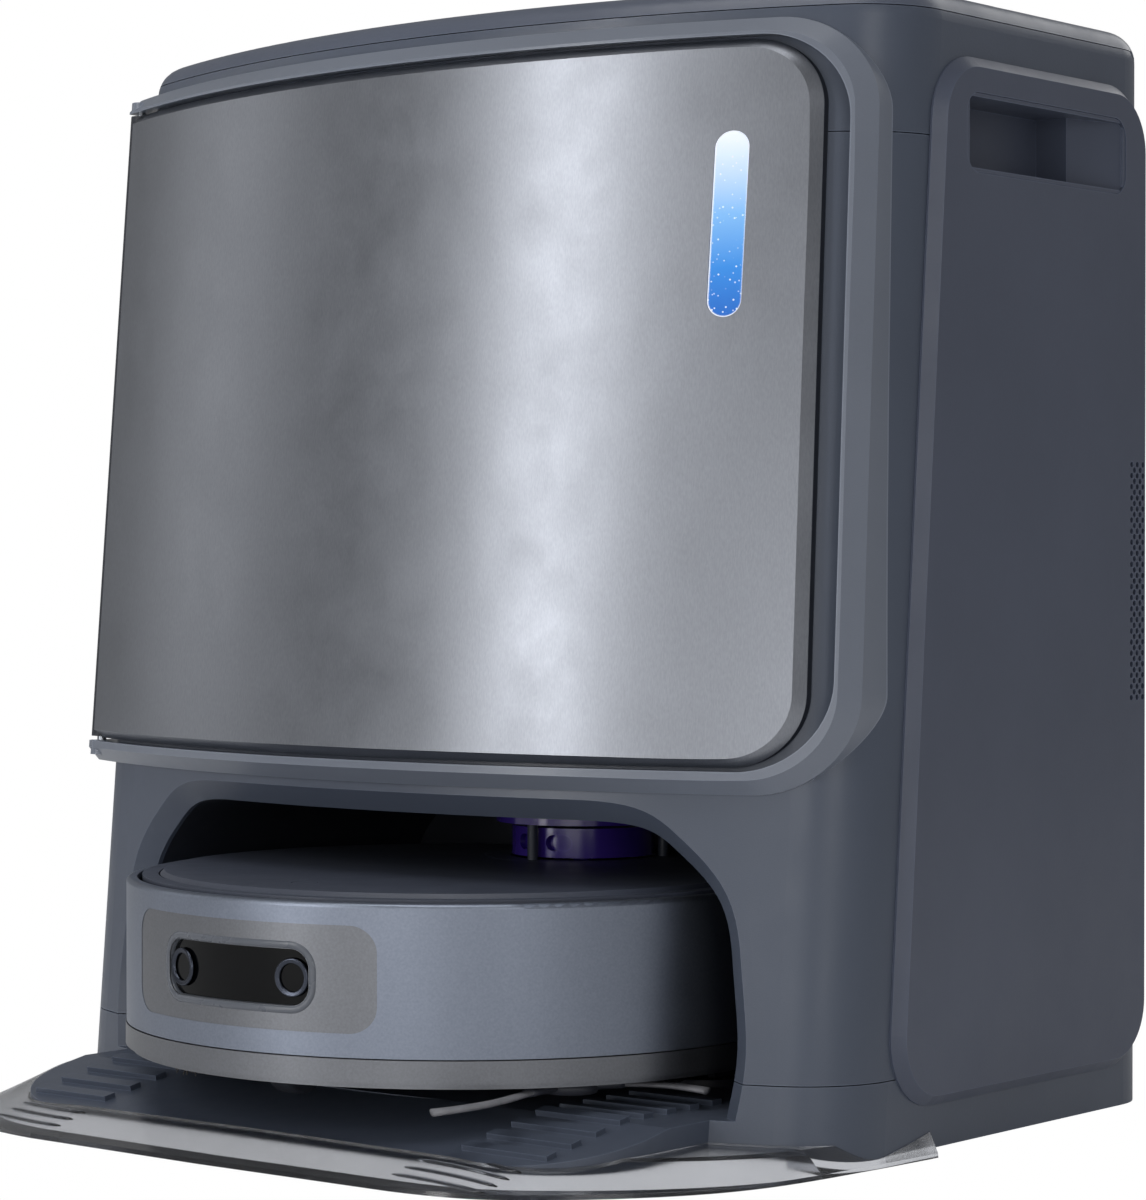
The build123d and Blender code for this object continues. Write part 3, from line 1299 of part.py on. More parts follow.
# ---------------------------------------------------------------- robot: inside
def make_dust_bin():
    """Open-topped dust bin."""
    low = (-66, ROBOT_Y - 88, 62)
    high = (66, ROBOT_Y - 34, 108)
    with BuildPart() as bin_box:
        add(box_between(low, high))
        fillet(bin_box.edges().filter_by(Axis.Z), 10)
        fillet(bin_box.edges().group_by(Axis.Z)[0], 4)
        inner_low = (low[0] + 2, low[1] + 2, low[2] + 2)
        inner_high = (high[0] - 2, high[1] - 2, high[2] + 1)
        add(box_between(inner_low, inner_high), mode=Mode.SUBTRACT)
    return bin_box


def make_battery():
    """Battery pack."""
    with BuildPart() as battery:
        add(box_between((-36, MOP_Y - 35, 66), (36, MOP_Y + 40, 96)))
        fillet(battery.edges(), 4)
    return battery


def make_main_board():
    """Robot's main circuit board with its chips."""
    with BuildPart() as board:
        add(box_between((-58, ROBOT_Y - 8, 90), (58, ROBOT_Y + 30, 91.6)))
        with Locations((-30, ROBOT_Y + 10, 93), (5, ROBOT_Y + 12, 93), (34, ROBOT_Y + 8, 93)):
            Box(18, 18, 3)
    return board


def make_robot_contacts():
    """Charging pads on the robot's back."""
    with BuildPart() as pads:
        for side in (-1, 1):
            add(charging_pad(side))
    return pads


def build_all():
    """Make every piece once and write it."""
    save(make_base_tray(), "base_tray")
    save(make_ramp_plate(), "ramp_plate")
    save(make_housing(), "housing")
    save(make_rear_cover(), "rear_cover")
    save(make_top_frame(), "top_frame")
    save(make_lid(), "lid")
    save(make_handle_cups(), "handle_cups")
    save(make_bay_liner(), "bay_liner")
    save(make_inner_frame(), "inner_frame")
    save(make_door_skin(), "door_skin")
    save(make_door_frame(), "door_frame")
    save(make_bezel(), "bezel")
    save(make_hinge_pins(), "hinge_pins")
    save(make_light_lens(), "light_lens")
    save(make_dust_bag(), "dust_bag")
    save(make_suction_fan(), "suction_fan")
    save(make_water_pumps(), "water_pumps")
    save(make_dryer(), "dryer")
    save(make_control_board(), "control_board")
    save(make_power_inlet(), "power_inlet")
    save(make_dock_contacts(), "dock_contacts")
    save(make_washboard(), "washboard")
    save(make_rubber_feet(), "rubber_feet")
    save(make_case_screws(), "case_screws")
    for side, tank in ((-1, "clean_tank"), (1, "dirty_tank")):
        save(make_tank(side), tank)
        save(make_tank_lid(side), f"{tank}_lid")
        save(make_tank_handle(side), f"{tank}_handle")
    save(make_chassis(), "chassis")
    save(make_bumper(), "bumper")
    save(make_sensor_panel(), "sensor_panel")
    save(make_sensor_window(), "sensor_window")
    save(make_sensor_lenses(), "sensor_lenses")
    save(make_rear_shell(), "rear_shell")
    save(make_robot_deck(), "robot_deck")
    save(make_robot_lid(), "robot_lid")
    save(make_power_button(), "power_button")
    save(make_turret_head(), "turret_head")
    save(make_turret_cap(), "turret_cap")
    save(make_side_brush_right(), "side_brush_right")
    save(make_side_brush_left(), "side_brush_left")
    save(make_main_brush(), "main_brush")
    save(make_caster_fork(), "caster_fork")
    save(make_caster_wheel(), "caster_wheel")
    save(make_dust_bin(), "dust_bin")
    save(make_battery(), "battery")
    save(make_main_board(), "main_board")
    save(make_robot_contacts(), "robot_contacts")
    for side, hand in ((-1, "left"), (1, "right")):
        save(make_side_panel(side), f"side_panel_{hand}")
        save(make_wheel_arm(side), f"wheel_arm_{hand}")
        save(make_drive_wheel(side), f"drive_wheel_{hand}")
        save(make_mop_plate(side), f"mop_plate_{hand}")
        save(make_mop_pad(side), f"mop_pad_{hand}")


build_all()
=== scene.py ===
"""Robot vacuum parked in its cleaning dock: materials, soft pieces, light and camera."""
import math
import random

import bmesh
import bpy
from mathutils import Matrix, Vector


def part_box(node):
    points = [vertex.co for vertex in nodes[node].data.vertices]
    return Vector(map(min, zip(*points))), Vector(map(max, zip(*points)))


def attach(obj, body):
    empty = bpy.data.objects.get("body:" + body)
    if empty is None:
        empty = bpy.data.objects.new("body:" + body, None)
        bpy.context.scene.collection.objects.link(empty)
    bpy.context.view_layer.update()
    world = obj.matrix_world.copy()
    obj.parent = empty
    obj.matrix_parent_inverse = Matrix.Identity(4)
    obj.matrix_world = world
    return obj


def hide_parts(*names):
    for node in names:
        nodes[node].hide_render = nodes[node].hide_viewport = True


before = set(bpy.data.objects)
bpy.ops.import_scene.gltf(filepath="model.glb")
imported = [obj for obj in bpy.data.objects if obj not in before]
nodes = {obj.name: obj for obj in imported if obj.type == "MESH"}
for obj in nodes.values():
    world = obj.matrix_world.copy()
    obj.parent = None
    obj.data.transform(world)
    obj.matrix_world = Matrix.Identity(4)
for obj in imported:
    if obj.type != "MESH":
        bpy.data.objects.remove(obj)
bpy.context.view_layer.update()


# ---------------------------------------------------------------- helpers
def srgb(red, green, blue):
    """Linear colour of an 8-bit screen colour."""

    def linear(value):
        share = value / 255
        return share / 12.92 if share <= 0.04045 else ((share + 0.055) / 1.055) ** 2.4

    return (linear(red), linear(green), linear(blue), 1.0)


def scaled(colour, factor):
    """Colour made lighter or darker."""
    return tuple(min(1.0, part * factor) for part in colour[:3]) + (1.0,)


def add_node(tree, kind, **inputs):
    """New shader node with some of its inputs set."""
    node = tree.nodes.new(kind)
    for name, value in inputs.items():
        node.inputs[name.replace("_", " ")].default_value = value
    return node


def start_material(name):
    """Empty material with its Principled shader."""
    material = bpy.data.materials.new(name)
    material.use_nodes = True
    tree = material.node_tree
    return material, tree, tree.nodes["Principled BSDF"]


def place(tree, stretch=(1, 1, 1)):
    """Coordinates of the part's own frame, in metres, stretched along an axis."""
    where = tree.nodes.new("ShaderNodeTexCoord")
    mapping = tree.nodes.new("ShaderNodeMapping")
    mapping.inputs["Scale"].default_value = stretch
    tree.links.new(where.outputs["Object"], mapping.inputs["Vector"])
    return mapping.outputs["Vector"]


def noise(tree, scale, detail=2.0, stretch=(1, 1, 1), roughness=0.5):
    """Noise value laid out in the part's own frame."""
    node = add_node(tree, "ShaderNodeTexNoise", Scale=scale, Detail=detail, Roughness=roughness)
    tree.links.new(place(tree, stretch), node.inputs["Vector"])
    return node.outputs["Fac"]


def between(tree, value, low, high, from_low=0.3, from_high=0.7):
    """Value mapped from one range to another."""
    node = tree.nodes.new("ShaderNodeMapRange")
    node.inputs["From Min"].default_value = from_low
    node.inputs["From Max"].default_value = from_high
    node.inputs["To Min"].default_value = low
    node.inputs["To Max"].default_value = high
    tree.links.new(value, node.inputs["Value"])
    return node.outputs["Result"]


def blend_colours(tree, share, first, second):
    """Mix of two colours, each a colour or another node's output."""
    node = tree.nodes.new("ShaderNodeMix")
    node.data_type = "RGBA"
    tree.links.new(share, node.inputs[0])
    for socket, colour in ((node.inputs[6], first), (node.inputs[7], second)):
        if isinstance(colour, tuple):
            socket.default_value = colour
        else:
            tree.links.new(colour, socket)
    return node.outputs[2]


def worn_edges(tree, radius):
    """1 along sharp edges and 0 on flat faces."""
    bevel = tree.nodes.new("ShaderNodeBevel")
    bevel.samples = 8
    bevel.inputs["Radius"].default_value = radius
    geometry = tree.nodes.new("ShaderNodeNewGeometry")
    dot = tree.nodes.new("ShaderNodeVectorMath")
    dot.operation = "DOT_PRODUCT"
    tree.links.new(bevel.outputs["Normal"], dot.inputs[0])
    tree.links.new(geometry.outputs["Normal"], dot.inputs[1])
    return between(tree, dot.outputs["Value"], 1.0, 0.0, 0.86, 0.99)


def bump(tree, height, distance, strength=1.0):
    """Normal from a height value."""
    node = tree.nodes.new("ShaderNodeBump")
    node.inputs["Distance"].default_value = distance
    node.inputs["Strength"].default_value = strength
    tree.links.new(height, node.inputs["Height"])
    return node.outputs["Normal"]


def plastic(name, colour, roughness=0.42, grain=1500, depth=0.00004, wear=0.25, coat=0.0):
    """Moulded plastic: slow colour variation, fine moulded grain, edges rubbed lighter."""
    material, tree, shader = start_material(name)
    cloudy = between(tree, noise(tree, 9, 3), 0, 1)
    base = blend_colours(tree, cloudy, scaled(colour, 0.94), scaled(colour, 1.06))
    speckle = between(tree, noise(tree, 2600, 1), 0, 1)
    base = blend_colours(tree, between(tree, speckle, 0, 0.12, 0, 1), base, scaled(colour, 1.5))
    rubbed = worn_edges(tree, 0.0012)
    base = blend_colours(tree, between(tree, rubbed, 0, wear, 0, 1), base, scaled(colour, 2.2))
    tree.links.new(base, shader.inputs["Base Color"])
    streaky = noise(tree, 30, 4, roughness=0.65)
    dull = between(tree, streaky, roughness - 0.05, roughness + 0.06)
    tree.links.new(dull, shader.inputs["Roughness"])
    tree.links.new(bump(tree, noise(tree, grain, 2), depth), shader.inputs["Normal"])
    shader.inputs["Coat Weight"].default_value = coat
    shader.inputs["Coat Roughness"].default_value = 0.2
    return material


def metal(name, colour, roughness, brushing=(1, 1, 1), grain=900, depth=0.00002):
    """Metal with a fine brushed or blasted finish."""
    material, tree, shader = start_material(name)
    fine = between(tree, noise(tree, grain, 2, brushing), 0, 1)
    base = blend_colours(tree, fine, scaled(colour, 0.93), scaled(colour, 1.07))
    cloudy = between(tree, noise(tree, 7, 3), 0, 1)
    base = blend_colours(tree, between(tree, cloudy, 0, 0.12, 0, 1), base, scaled(colour, 0.8))
    tree.links.new(base, shader.inputs["Base Color"])
    shader.inputs["Metallic"].default_value = 1.0
    smears = noise(tree, 24, 4, roughness=0.7)
    tree.links.new(between(tree, smears, roughness - 0.03, roughness + 0.04), shader.inputs["Roughness"])
    tree.links.new(bump(tree, noise(tree, grain, 2, brushing), depth), shader.inputs["Normal"])
    return material


def clear_plastic(name, colour, roughness=0.16, see_through=0.75):
    """Clear tinted plastic."""
    material, tree, shader = start_material(name)
    cloudy = between(tree, noise(tree, 14, 3), 0, 1)
    base = blend_colours(tree, cloudy, scaled(colour, 0.93), scaled(colour, 1.05))
    tree.links.new(base, shader.inputs["Base Color"])
    scuffs = noise(tree, 160, 3, (1, 6, 1), 0.7)
    tree.links.new(between(tree, scuffs, roughness, roughness + 0.1), shader.inputs["Roughness"])
    tree.links.new(bump(tree, noise(tree, 700, 2), 0.00001), shader.inputs["Normal"])
    shader.inputs["Transmission Weight"].default_value = see_through
    shader.inputs["IOR"].default_value = 1.46
    return material


def rubber(name, colour, roughness=0.75):
    """Matt rubber with a dusty bloom."""
    material, tree, shader = start_material(name)
    bloom = between(tree, noise(tree, 60, 4, roughness=0.7), 0, 1)
    base = blend_colours(tree, bloom, colour, scaled(colour, 1.5))
    tree.links.new(base, shader.inputs["Base Color"])
    dusty = noise(tree, 90, 3)
    tree.links.new(between(tree, dusty, roughness - 0.08, roughness + 0.1), shader.inputs["Roughness"])
    tree.links.new(bump(tree, noise(tree, 1200, 2), 0.00005), shader.inputs["Normal"])
    return material


def fabric(name, colour, thread=700, depth=0.0003, sheen=0.4):
    """Cloth with a crossed weave and uneven dye."""
    material, tree, shader = start_material(name)
    over = between(tree, noise(tree, thread, 1, (1, 0.12, 1)), 0, 1)
    under = between(tree, noise(tree, thread, 1, (0.12, 1, 1)), 0, 1)
    weave = tree.nodes.new("ShaderNodeMath")
    weave.operation = "MAXIMUM"
    tree.links.new(over, weave.inputs[0])
    tree.links.new(under, weave.inputs[1])
    base = blend_colours(tree, weave.outputs[0], scaled(colour, 0.7), scaled(colour, 1.12))
    tree.links.new(base, shader.inputs["Base Color"])
    shader.inputs["Roughness"].default_value = 0.92
    shader.inputs["Sheen Weight"].default_value = sheen
    tree.links.new(bump(tree, weave.outputs[0], depth), shader.inputs["Normal"])
    return material


def board_laminate(name, colour):
    """Circuit board with copper tracks under the green mask."""
    material, tree, shader = start_material(name)
    tracks = add_node(tree, "ShaderNodeTexBrick", Scale=60.0)
    tree.links.new(place(tree), tracks.inputs["Vector"])
    tracks.inputs["Color1"].default_value = colour
    tracks.inputs["Color2"].default_value = scaled(colour, 1.25)
    tracks.inputs["Mortar"].default_value = scaled(colour, 1.9)
    tree.links.new(tracks.outputs["Color"], shader.inputs["Base Color"])
    tree.links.new(between(tree, noise(tree, 200, 3), 0.3, 0.5), shader.inputs["Roughness"])
    tree.links.new(bump(tree, noise(tree, 900, 2), 0.00003), shader.inputs["Normal"])
    return material


def light_bar(name, low_z, high_z):
    """Lit bar: pale at the top, blue at the foot, with rising bubbles."""
    material, tree, shader = start_material(name)
    split = tree.nodes.new("ShaderNodeSeparateXYZ")
    tree.links.new(place(tree), split.inputs["Vector"])
    ramp = tree.nodes.new("ShaderNodeValToRGB")
    stops = ramp.color_ramp
    stops.elements[0].color = srgb(18, 92, 184)
    stops.elements[1].color = srgb(236, 240, 248)
    middles = ((0.28, srgb(48, 132, 214)), (0.55, srgb(122, 178, 232)), (0.8, srgb(196, 216, 242)))
    for position, colour in middles:
        stops.elements.new(position).color = colour
    tree.links.new(between(tree, split.outputs["Z"], 0, 1, low_z, high_z), ramp.inputs["Fac"])
    bubbles = add_node(tree, "ShaderNodeTexVoronoi", Scale=420.0)
    bubbles.feature = "F1"
    tree.links.new(place(tree), bubbles.inputs["Vector"])
    dots = between(tree, bubbles.outputs["Distance"], 1, 0, 0.12, 0.22)
    some = between(tree, noise(tree, 150, 2), 0, 0.9, 0.42, 0.5)
    both = tree.nodes.new("ShaderNodeMath")
    both.operation = "MULTIPLY"
    tree.links.new(dots, both.inputs[0])
    tree.links.new(some, both.inputs[1])
    glow = blend_colours(tree, both.outputs[0], ramp.outputs["Color"], srgb(232, 242, 255))
    rim = blend_colours(tree, worn_edges(tree, 0.0016), glow, srgb(240, 244, 252))
    tree.links.new(rim, shader.inputs["Base Color"])
    tree.links.new(rim, shader.inputs["Emission Color"])
    shader.inputs["Emission Strength"].default_value = 0.35
    shader.inputs["Roughness"].default_value = 0.3
    return material


# ---------------------------------------------------------------- materials of the CAD nodes
SHELL = srgb(77, 84, 98)
shell = plastic("shell_satin", SHELL, 0.34, wear=0.4)
side = plastic("side_panel_satin", srgb(76, 82, 98), 0.36, wear=0.45)
top = plastic("top_lid_satin", srgb(84, 90, 104), 0.34)
bezel_finish = plastic("bezel_satin_silver", srgb(112, 118, 130), 0.36, wear=0.3, coat=0.2)
dark = plastic("inner_dark", srgb(36, 39, 47), 0.5, wear=0.12)
door = metal("door_brushed", srgb(148, 151, 158), 0.34, (1, 1, 0.25), 1500, 0.000003)
robot_grey = metal("robot_satin", srgb(140, 147, 161), 0.42)
robot_skirt = metal("robot_skirt_satin", srgb(130, 132, 137), 0.4)
robot_dark = plastic("robot_deck_matt", srgb(66, 71, 84), 0.44)
turret = plastic("turret_gloss", srgb(66, 44, 150), 0.16, depth=0.00001, coat=0.6)
glass = plastic("window_gloss", srgb(3, 4, 6), 0.12, depth=0.000004, wear=0.0)
glass.node_tree.nodes["Principled BSDF"].inputs["Specular IOR Level"].default_value = 0.18
bezel_ring = plastic("window_surround", srgb(92, 96, 104), 0.28, wear=0.35)
lens_ring = metal("lens_ring", srgb(70, 74, 84), 0.25)
bristle = plastic("brush_bristle", srgb(86, 82, 78), 0.6)
strip = rubber("brush_strip", srgb(112, 112, 116), 0.5)
hub = plastic("brush_hub", srgb(60, 62, 70), 0.45)
mop_cloth = fabric("mop_pile", srgb(128, 132, 142), 900, 0.0006, 0.5)
bag_cloth = fabric("bag_fleece", srgb(214, 214, 210), 520, 0.0003, 0.3)
collar_card = fabric("bag_collar_card", srgb(176, 150, 112), 260, 0.0001, 0.05)
clear = clear_plastic("ramp_clear", srgb(188, 190, 195), 0.13, 1.0)
tank = clear_plastic("tank_smoked", srgb(96, 108, 122), 0.22, 0.5)
steel = metal("pin_steel", srgb(176, 180, 186), 0.28)
plated = metal("contact_plate", srgb(205, 170, 98), 0.3)
tyre = rubber("tyre_rubber", srgb(30, 31, 35))
roller = rubber("roller_rubber", srgb(34, 36, 44), 0.6)
foot = rubber("foot_rubber", srgb(24, 25, 28))
board = board_laminate("board_green", srgb(30, 74, 52))
caster = rubber("caster_rubber", srgb(40, 42, 48), 0.5)
bar_low, bar_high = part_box("light_lens")
lit = light_bar("light_bar_lit", bar_low.z, bar_high.z)

FINISHES = {
    shell: "base_tray housing rear_cover top_frame",
    side: "side_panel_left side_panel_right handle_cups",
    top: "lid",
    bezel_finish: "bezel clean_tank_handle dirty_tank_handle",
    dark: "bay_liner inner_frame door_frame suction_fan water_pumps dryer power_inlet washboard"
    " clean_tank_lid dirty_tank_lid wheel_arm_left wheel_arm_right mop_plate_left mop_plate_right"
    " caster_fork dust_bin battery",
    door: "door_skin",
    robot_grey: "bumper rear_shell",
    robot_skirt: "chassis sensor_panel",
    robot_dark: "robot_deck robot_lid power_button",
    turret: "turret_head turret_cap",
    glass: "sensor_window sensor_lenses",
    clear: "ramp_plate",
    tank: "clean_tank dirty_tank",
    steel: "hinge_pins case_screws",
    plated: "dock_contacts robot_contacts",
    tyre: "drive_wheel_left drive_wheel_right",
    roller: "main_brush",
    foot: "rubber_feet",
    board: "control_board main_board",
    caster: "caster_wheel",
    lit: "light_lens",
}
for material, names in FINISHES.items():
    for name in names.split():
        mesh = nodes[name].data
        mesh.materials.clear()
        mesh.materials.append(material)


# ---------------------------------------------------------------- added pieces
def add_piece(name, vertices, faces, material, body, smooth=True):
    """Mesh object from points in millimetres that rides on a body."""
    mesh = bpy.data.meshes.new(name)
    mesh.from_pydata([tuple(value / 1000 for value in point) for point in vertices], [], faces)
    form = bmesh.new()
    form.from_mesh(mesh)
    bmesh.ops.recalc_face_normals(form, faces=form.faces)
    for face in form.faces:
        face.smooth = smooth
    form.to_mesh(mesh)
    form.free()
    mesh.materials.append(material)
    piece = bpy.data.objects.new(name, mesh)
    bpy.context.scene.collection.objects.link(piece)
    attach(piece, body)
    return piece


def skin_rings(rings, closed_round=True, closed_along=False):
    """Points and faces that join rings of equal length, each ring a list of points."""
    count = len(rings[0])
    points = [point for ring in rings for point in ring]
    faces = []
    spans = len(rings) if closed_along else len(rings) - 1
    for row in range(spans):
        after = (row + 1) % len(rings)
        for step in range(count if closed_round else count - 1):
            beside = (step + 1) % count
            here, there = row * count, after * count
            faces.append((here + step, here + beside, there + beside, there + step))
    if not closed_along and closed_round:
        faces.append(tuple(range(count))[::-1])
        faces.append(tuple((len(rings) - 1) * count + step for step in range(count)))
    return points, faces


def joined(parts):
    """One set of points and faces from several."""
    points, faces = [], []
    for part_points, part_faces in parts:
        start = len(points)
        points += part_points
        faces += [tuple(start + index for index in face) for face in part_faces]
    return points, faces


def turned(x, y, profile, steps=48):
    """Form turned about an upright axis from (radius, height) points."""
    rings = []
    for radius, height in profile:
        angles = [2 * math.pi * step / steps for step in range(steps)]
        rings.append([(x + radius * math.cos(a), y + radius * math.sin(a), height) for a in angles])
    return skin_rings(rings)


def swept(path, radius, sides=8, flat=1.0):
    """Tube along a path, thinner than wide where flat is under 1."""
    rings = []
    for place_on, point in enumerate(path):
        before = Vector(path[max(0, place_on - 1)])
        after = Vector(path[min(len(path) - 1, place_on + 1)])
        along = (after - before).normalized()
        across = along.cross(Vector((0, 0, 1))).normalized()
        upright = across.cross(along).normalized()
        width = radius(place_on / (len(path) - 1))
        ring = []
        for side_step in range(sides):
            a = 2 * math.pi * side_step / sides
            sideways = Vector(point) + across * width * math.cos(a)
            ring.append(tuple(sideways + upright * width * flat * math.sin(a)))
        rings.append(ring)
    return skin_rings(rings)


def face_hit(node, start, heading):
    """Where a line from start, in millimetres, meets a node, or None."""
    found, spot, normal, index = nodes[node].ray_cast(Vector(start) / 1000, Vector(heading))
    return spot * 1000 if found else None


def millimetres(node):
    """Lowest and highest corner of a node in millimetres."""
    low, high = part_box(node)
    return low * 1000, high * 1000


def robot_point(angle, height, proud, node):
    """Point on the robot's round face, angle in degrees from straight ahead."""
    low, high = millimetres("chassis")
    middle = Vector(((low.x + high.x) / 2, (low.y + high.y) / 2, height))
    turn = math.radians(angle)
    outward = Vector((math.sin(turn), -math.cos(turn), 0))
    spot = face_hit(node, middle + outward * 260, -outward)
    reach = (spot - middle).length if spot else 161.0
    return tuple(middle + outward * (reach + proud))


WINDOW_ARC = 15.5  # half angle of the sensor window, in degrees
DEGREE_LENGTH = 2.83  # millimetres along the robot's round face for one degree


def window_outline(grow, corner, steps=9):
    """(angle, height) points round the sensor window, rounded at the corners."""
    low, high = millimetres("sensor_window")
    half_arc = WINDOW_ARC + grow / DEGREE_LENGTH
    corner_arc = corner / DEGREE_LENGTH
    outline = []
    for turn, (side_x, side_z) in enumerate(((1, 1), (-1, 1), (-1, -1), (1, -1))):
        for step in range(steps):
            a = math.radians(90 * turn + 90 * step / (steps - 1))
            angle = side_x * (half_arc - corner_arc) + corner_arc * math.cos(a)
            level = (high.z + grow if side_z > 0 else low.z - grow) - side_z * corner
            outline.append((angle, level + corner * math.sin(a)))
        if turn in (0, 2):
            start, reach = outline[-1][0], -2 * side_x * (half_arc - corner_arc)
            for step in range(1, 12):
                outline.append((start + reach * step / 12, outline[-1][1]))
    return outline


def build_window_surround():
    """Rounded bevel round the sensor window."""
    rings = []
    for grow, proud in ((0.2, -1.6), (0.5, 0.15), (1.3, 0.55), (2.6, 0.6), (3.6, 0.35), (4.0, -0.6)):
        ring = []
        for angle, level in window_outline(grow, 9 + grow):
            ring.append(robot_point(angle, level, proud, "sensor_panel"))
        rings.append(ring)
    points, faces = skin_rings(rings)
    add_piece("window_surround", points, [face for face in faces if len(face) == 4], bezel_ring, "bumper")


LENS_RING_PROFILE = ((8.8, -0.3), (8.6, 0.35), (8.0, 0.55), (7.5, 0.2), (6.9, 0.45), (6.4, 0.1), (6.2, -0.5))
LENS_ANGLE = 12.3  # degrees from straight ahead


def build_lens_rings():
    """Turned ring round each of the two lenses."""
    low, high = millimetres("sensor_lenses")
    level = (low.z + high.z) / 2
    for hand, angle in (("left", -LENS_ANGLE), ("right", LENS_ANGLE)):
        middle = Vector(robot_point(angle, level, 0, "sensor_window"))
        turn = math.radians(angle)
        outward = Vector((math.sin(turn), -math.cos(turn), 0))
        sideways = Vector((math.cos(turn), math.sin(turn), 0))
        rings = []
        for radius, proud in LENS_RING_PROFILE:
            ring = []
            for step in range(48):
                a = 2 * math.pi * step / 48
                spoke = sideways * math.cos(a) + Vector((0, 0, 1)) * math.sin(a)
                ring.append(tuple(middle + spoke * radius + outward * proud))
            rings.append(ring)
        points, faces = skin_rings(rings)
        add_piece(f"lens_ring_{hand}", points, [f for f in faces if len(f) == 4], lens_ring, "bumper")


def rib_radius(share):
    """Half width of a rib along its length, in millimetres, drawn in at both ends."""
    return 1.9 * min(1, 8 * share + 0.3, 8 * (1 - share) + 0.3)


def build_ramp_ribs():
    """Low moulded ribs on the clear plate, straight at the right and bent at the left."""
    ribs = []
    for row in range(4):
        for side_x in (-1, 1):
            path = []
            for step in range(15):
                share = step / 14
                x = side_x * (104 + 52 * share)
                y = -178 - 8 * row + (9 * share * share if side_x < 0 else 0)
                spot = face_hit("ramp_plate", (x, y, 80), (0, 0, -1))
                if spot:
                    path.append((x, y, spot.z + 0.1))
            if len(path) > 3:
                ribs.append(swept(path, rib_radius, 8, 0.5))
    points, faces = joined(ribs)
    add_piece("ramp_ribs", points, faces, clear, "dock")


BRUSH_X = 120  # side brush axes, in millimetres
BRUSH_Y = -100


def brush_hub(x, y, top):
    """Turned hub of a side brush with a flange at its foot."""
    profile = ((7.6, top - 0.2), (7.9, top - 1), (7.9, 37), (12.4, 35), (12.9, 33), (12.4, 30.4), (2, 30.2))
    return turned(x, y, profile)


def build_brush_right():
    """Side brush with three flexible strips on a hub."""
    low, high = millimetres("side_brush_right")
    x, y = BRUSH_X, BRUSH_Y
    parts = [brush_hub(x, y, high.z)]
    grips = []
    for angle, reach in ((-95, 86), (42, 62), (165, 60)):
        turn = math.radians(angle)
        path = []
        for step in range(15):
            share = step / 14
            bend = math.radians(9) * math.sin(math.pi * share)
            out = 9 + (reach - 9) * share
            heading = turn + bend
            level = 33.5 - 3.2 * share * share
            path.append((x + out * math.cos(heading), y + out * math.sin(heading), level))
        parts.append(swept(path[:5], lambda share: 4.2 - 0.8 * share, 10, 0.55))
        grips.append(swept(path[3:], lambda share: 3.0 + 1.2 * share, 10, 0.38))
    points, faces = joined(parts)
    hub_piece = add_piece("brush_hub_right", points, faces, hub, "side_brush_right")
    points, faces = joined(grips)
    add_piece("brush_strips_right", points, faces, strip, "side_brush_right")
    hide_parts("side_brush_right")


def build_brush_left():
    """Side brush with two tufts of bristles on a hub."""
    source = random.Random(4)
    low, high = millimetres("side_brush_left")
    x, y = -BRUSH_X, BRUSH_Y
    points, faces = brush_hub(x, y, high.z)
    hub_piece = add_piece("brush_hub_left", points, faces, hub, "side_brush_left")
    hairs = []
    for angle in (-42, 138):
        for hair in range(64):
            spread = source.uniform(-8.5, 8.5)
            turn = math.radians(angle + spread)
            root = math.radians(angle + spread * 0.4)
            reach = 60 + source.uniform(-5, 4) + (18 if angle < 0 else 0)
            root_z = 33 + source.uniform(-1.4, 1.4)
            drop = source.uniform(2.2, 5.2)
            path = []
            for step in range(6):
                share = step / 5
                heading = root + (turn - root) * share
                out = 10 + (reach - 10) * share
                level = root_z - drop * share * share
                path.append((x + out * math.cos(heading), y + out * math.sin(heading), level))
            hairs.append(swept(path, lambda share: 0.34, 4))
    points, faces = joined(hairs)
    add_piece("bristles_left", points, faces, bristle, "side_brush_left")
    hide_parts("side_brush_left")


PAD_PROFILE = (
    (0.25, 0.03), (0.6, 0.0), (0.84, 0.04), (0.95, 0.2), (1.0, 0.5), (0.96, 0.84), (0.85, 1.0), (0.3, 1.0)
)


def build_mop_pad(hand):
    """Round cloth pad with a soft crowned rim and a pile that lies in swirls."""
    low, high = millimetres(f"mop_pad_{hand}")
    x, y = (low.x + high.x) / 2, (low.y + high.y) / 2
    radius = (high.x - low.x) / 2 - 0.4
    tall = high.z - low.z
    rings = []
    for share, level in PAD_PROFILE:
        ring = []
        for step in range(96):
            a = 2 * math.pi * step / 96
            wave = 1 + 0.012 * math.sin(9 * a + 5 * share) * share + 0.006 * math.sin(23 * a)
            lift = 0.35 * math.sin(12 * a + 9 * share) * (1 - abs(2 * level - 1)) + 0.25
            reach = min(radius, radius * share * wave)
            height = min(high.z, max(low.z, low.z + tall * level + lift * 0.4))
            ring.append((x + reach * math.cos(a), y + reach * math.sin(a), height))
        rings.append(ring)
    points, faces = skin_rings(rings)
    piece = add_piece(f"mop_cloth_{hand}", points, faces, mop_cloth, f"mop_{hand}")
    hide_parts(f"mop_pad_{hand}")


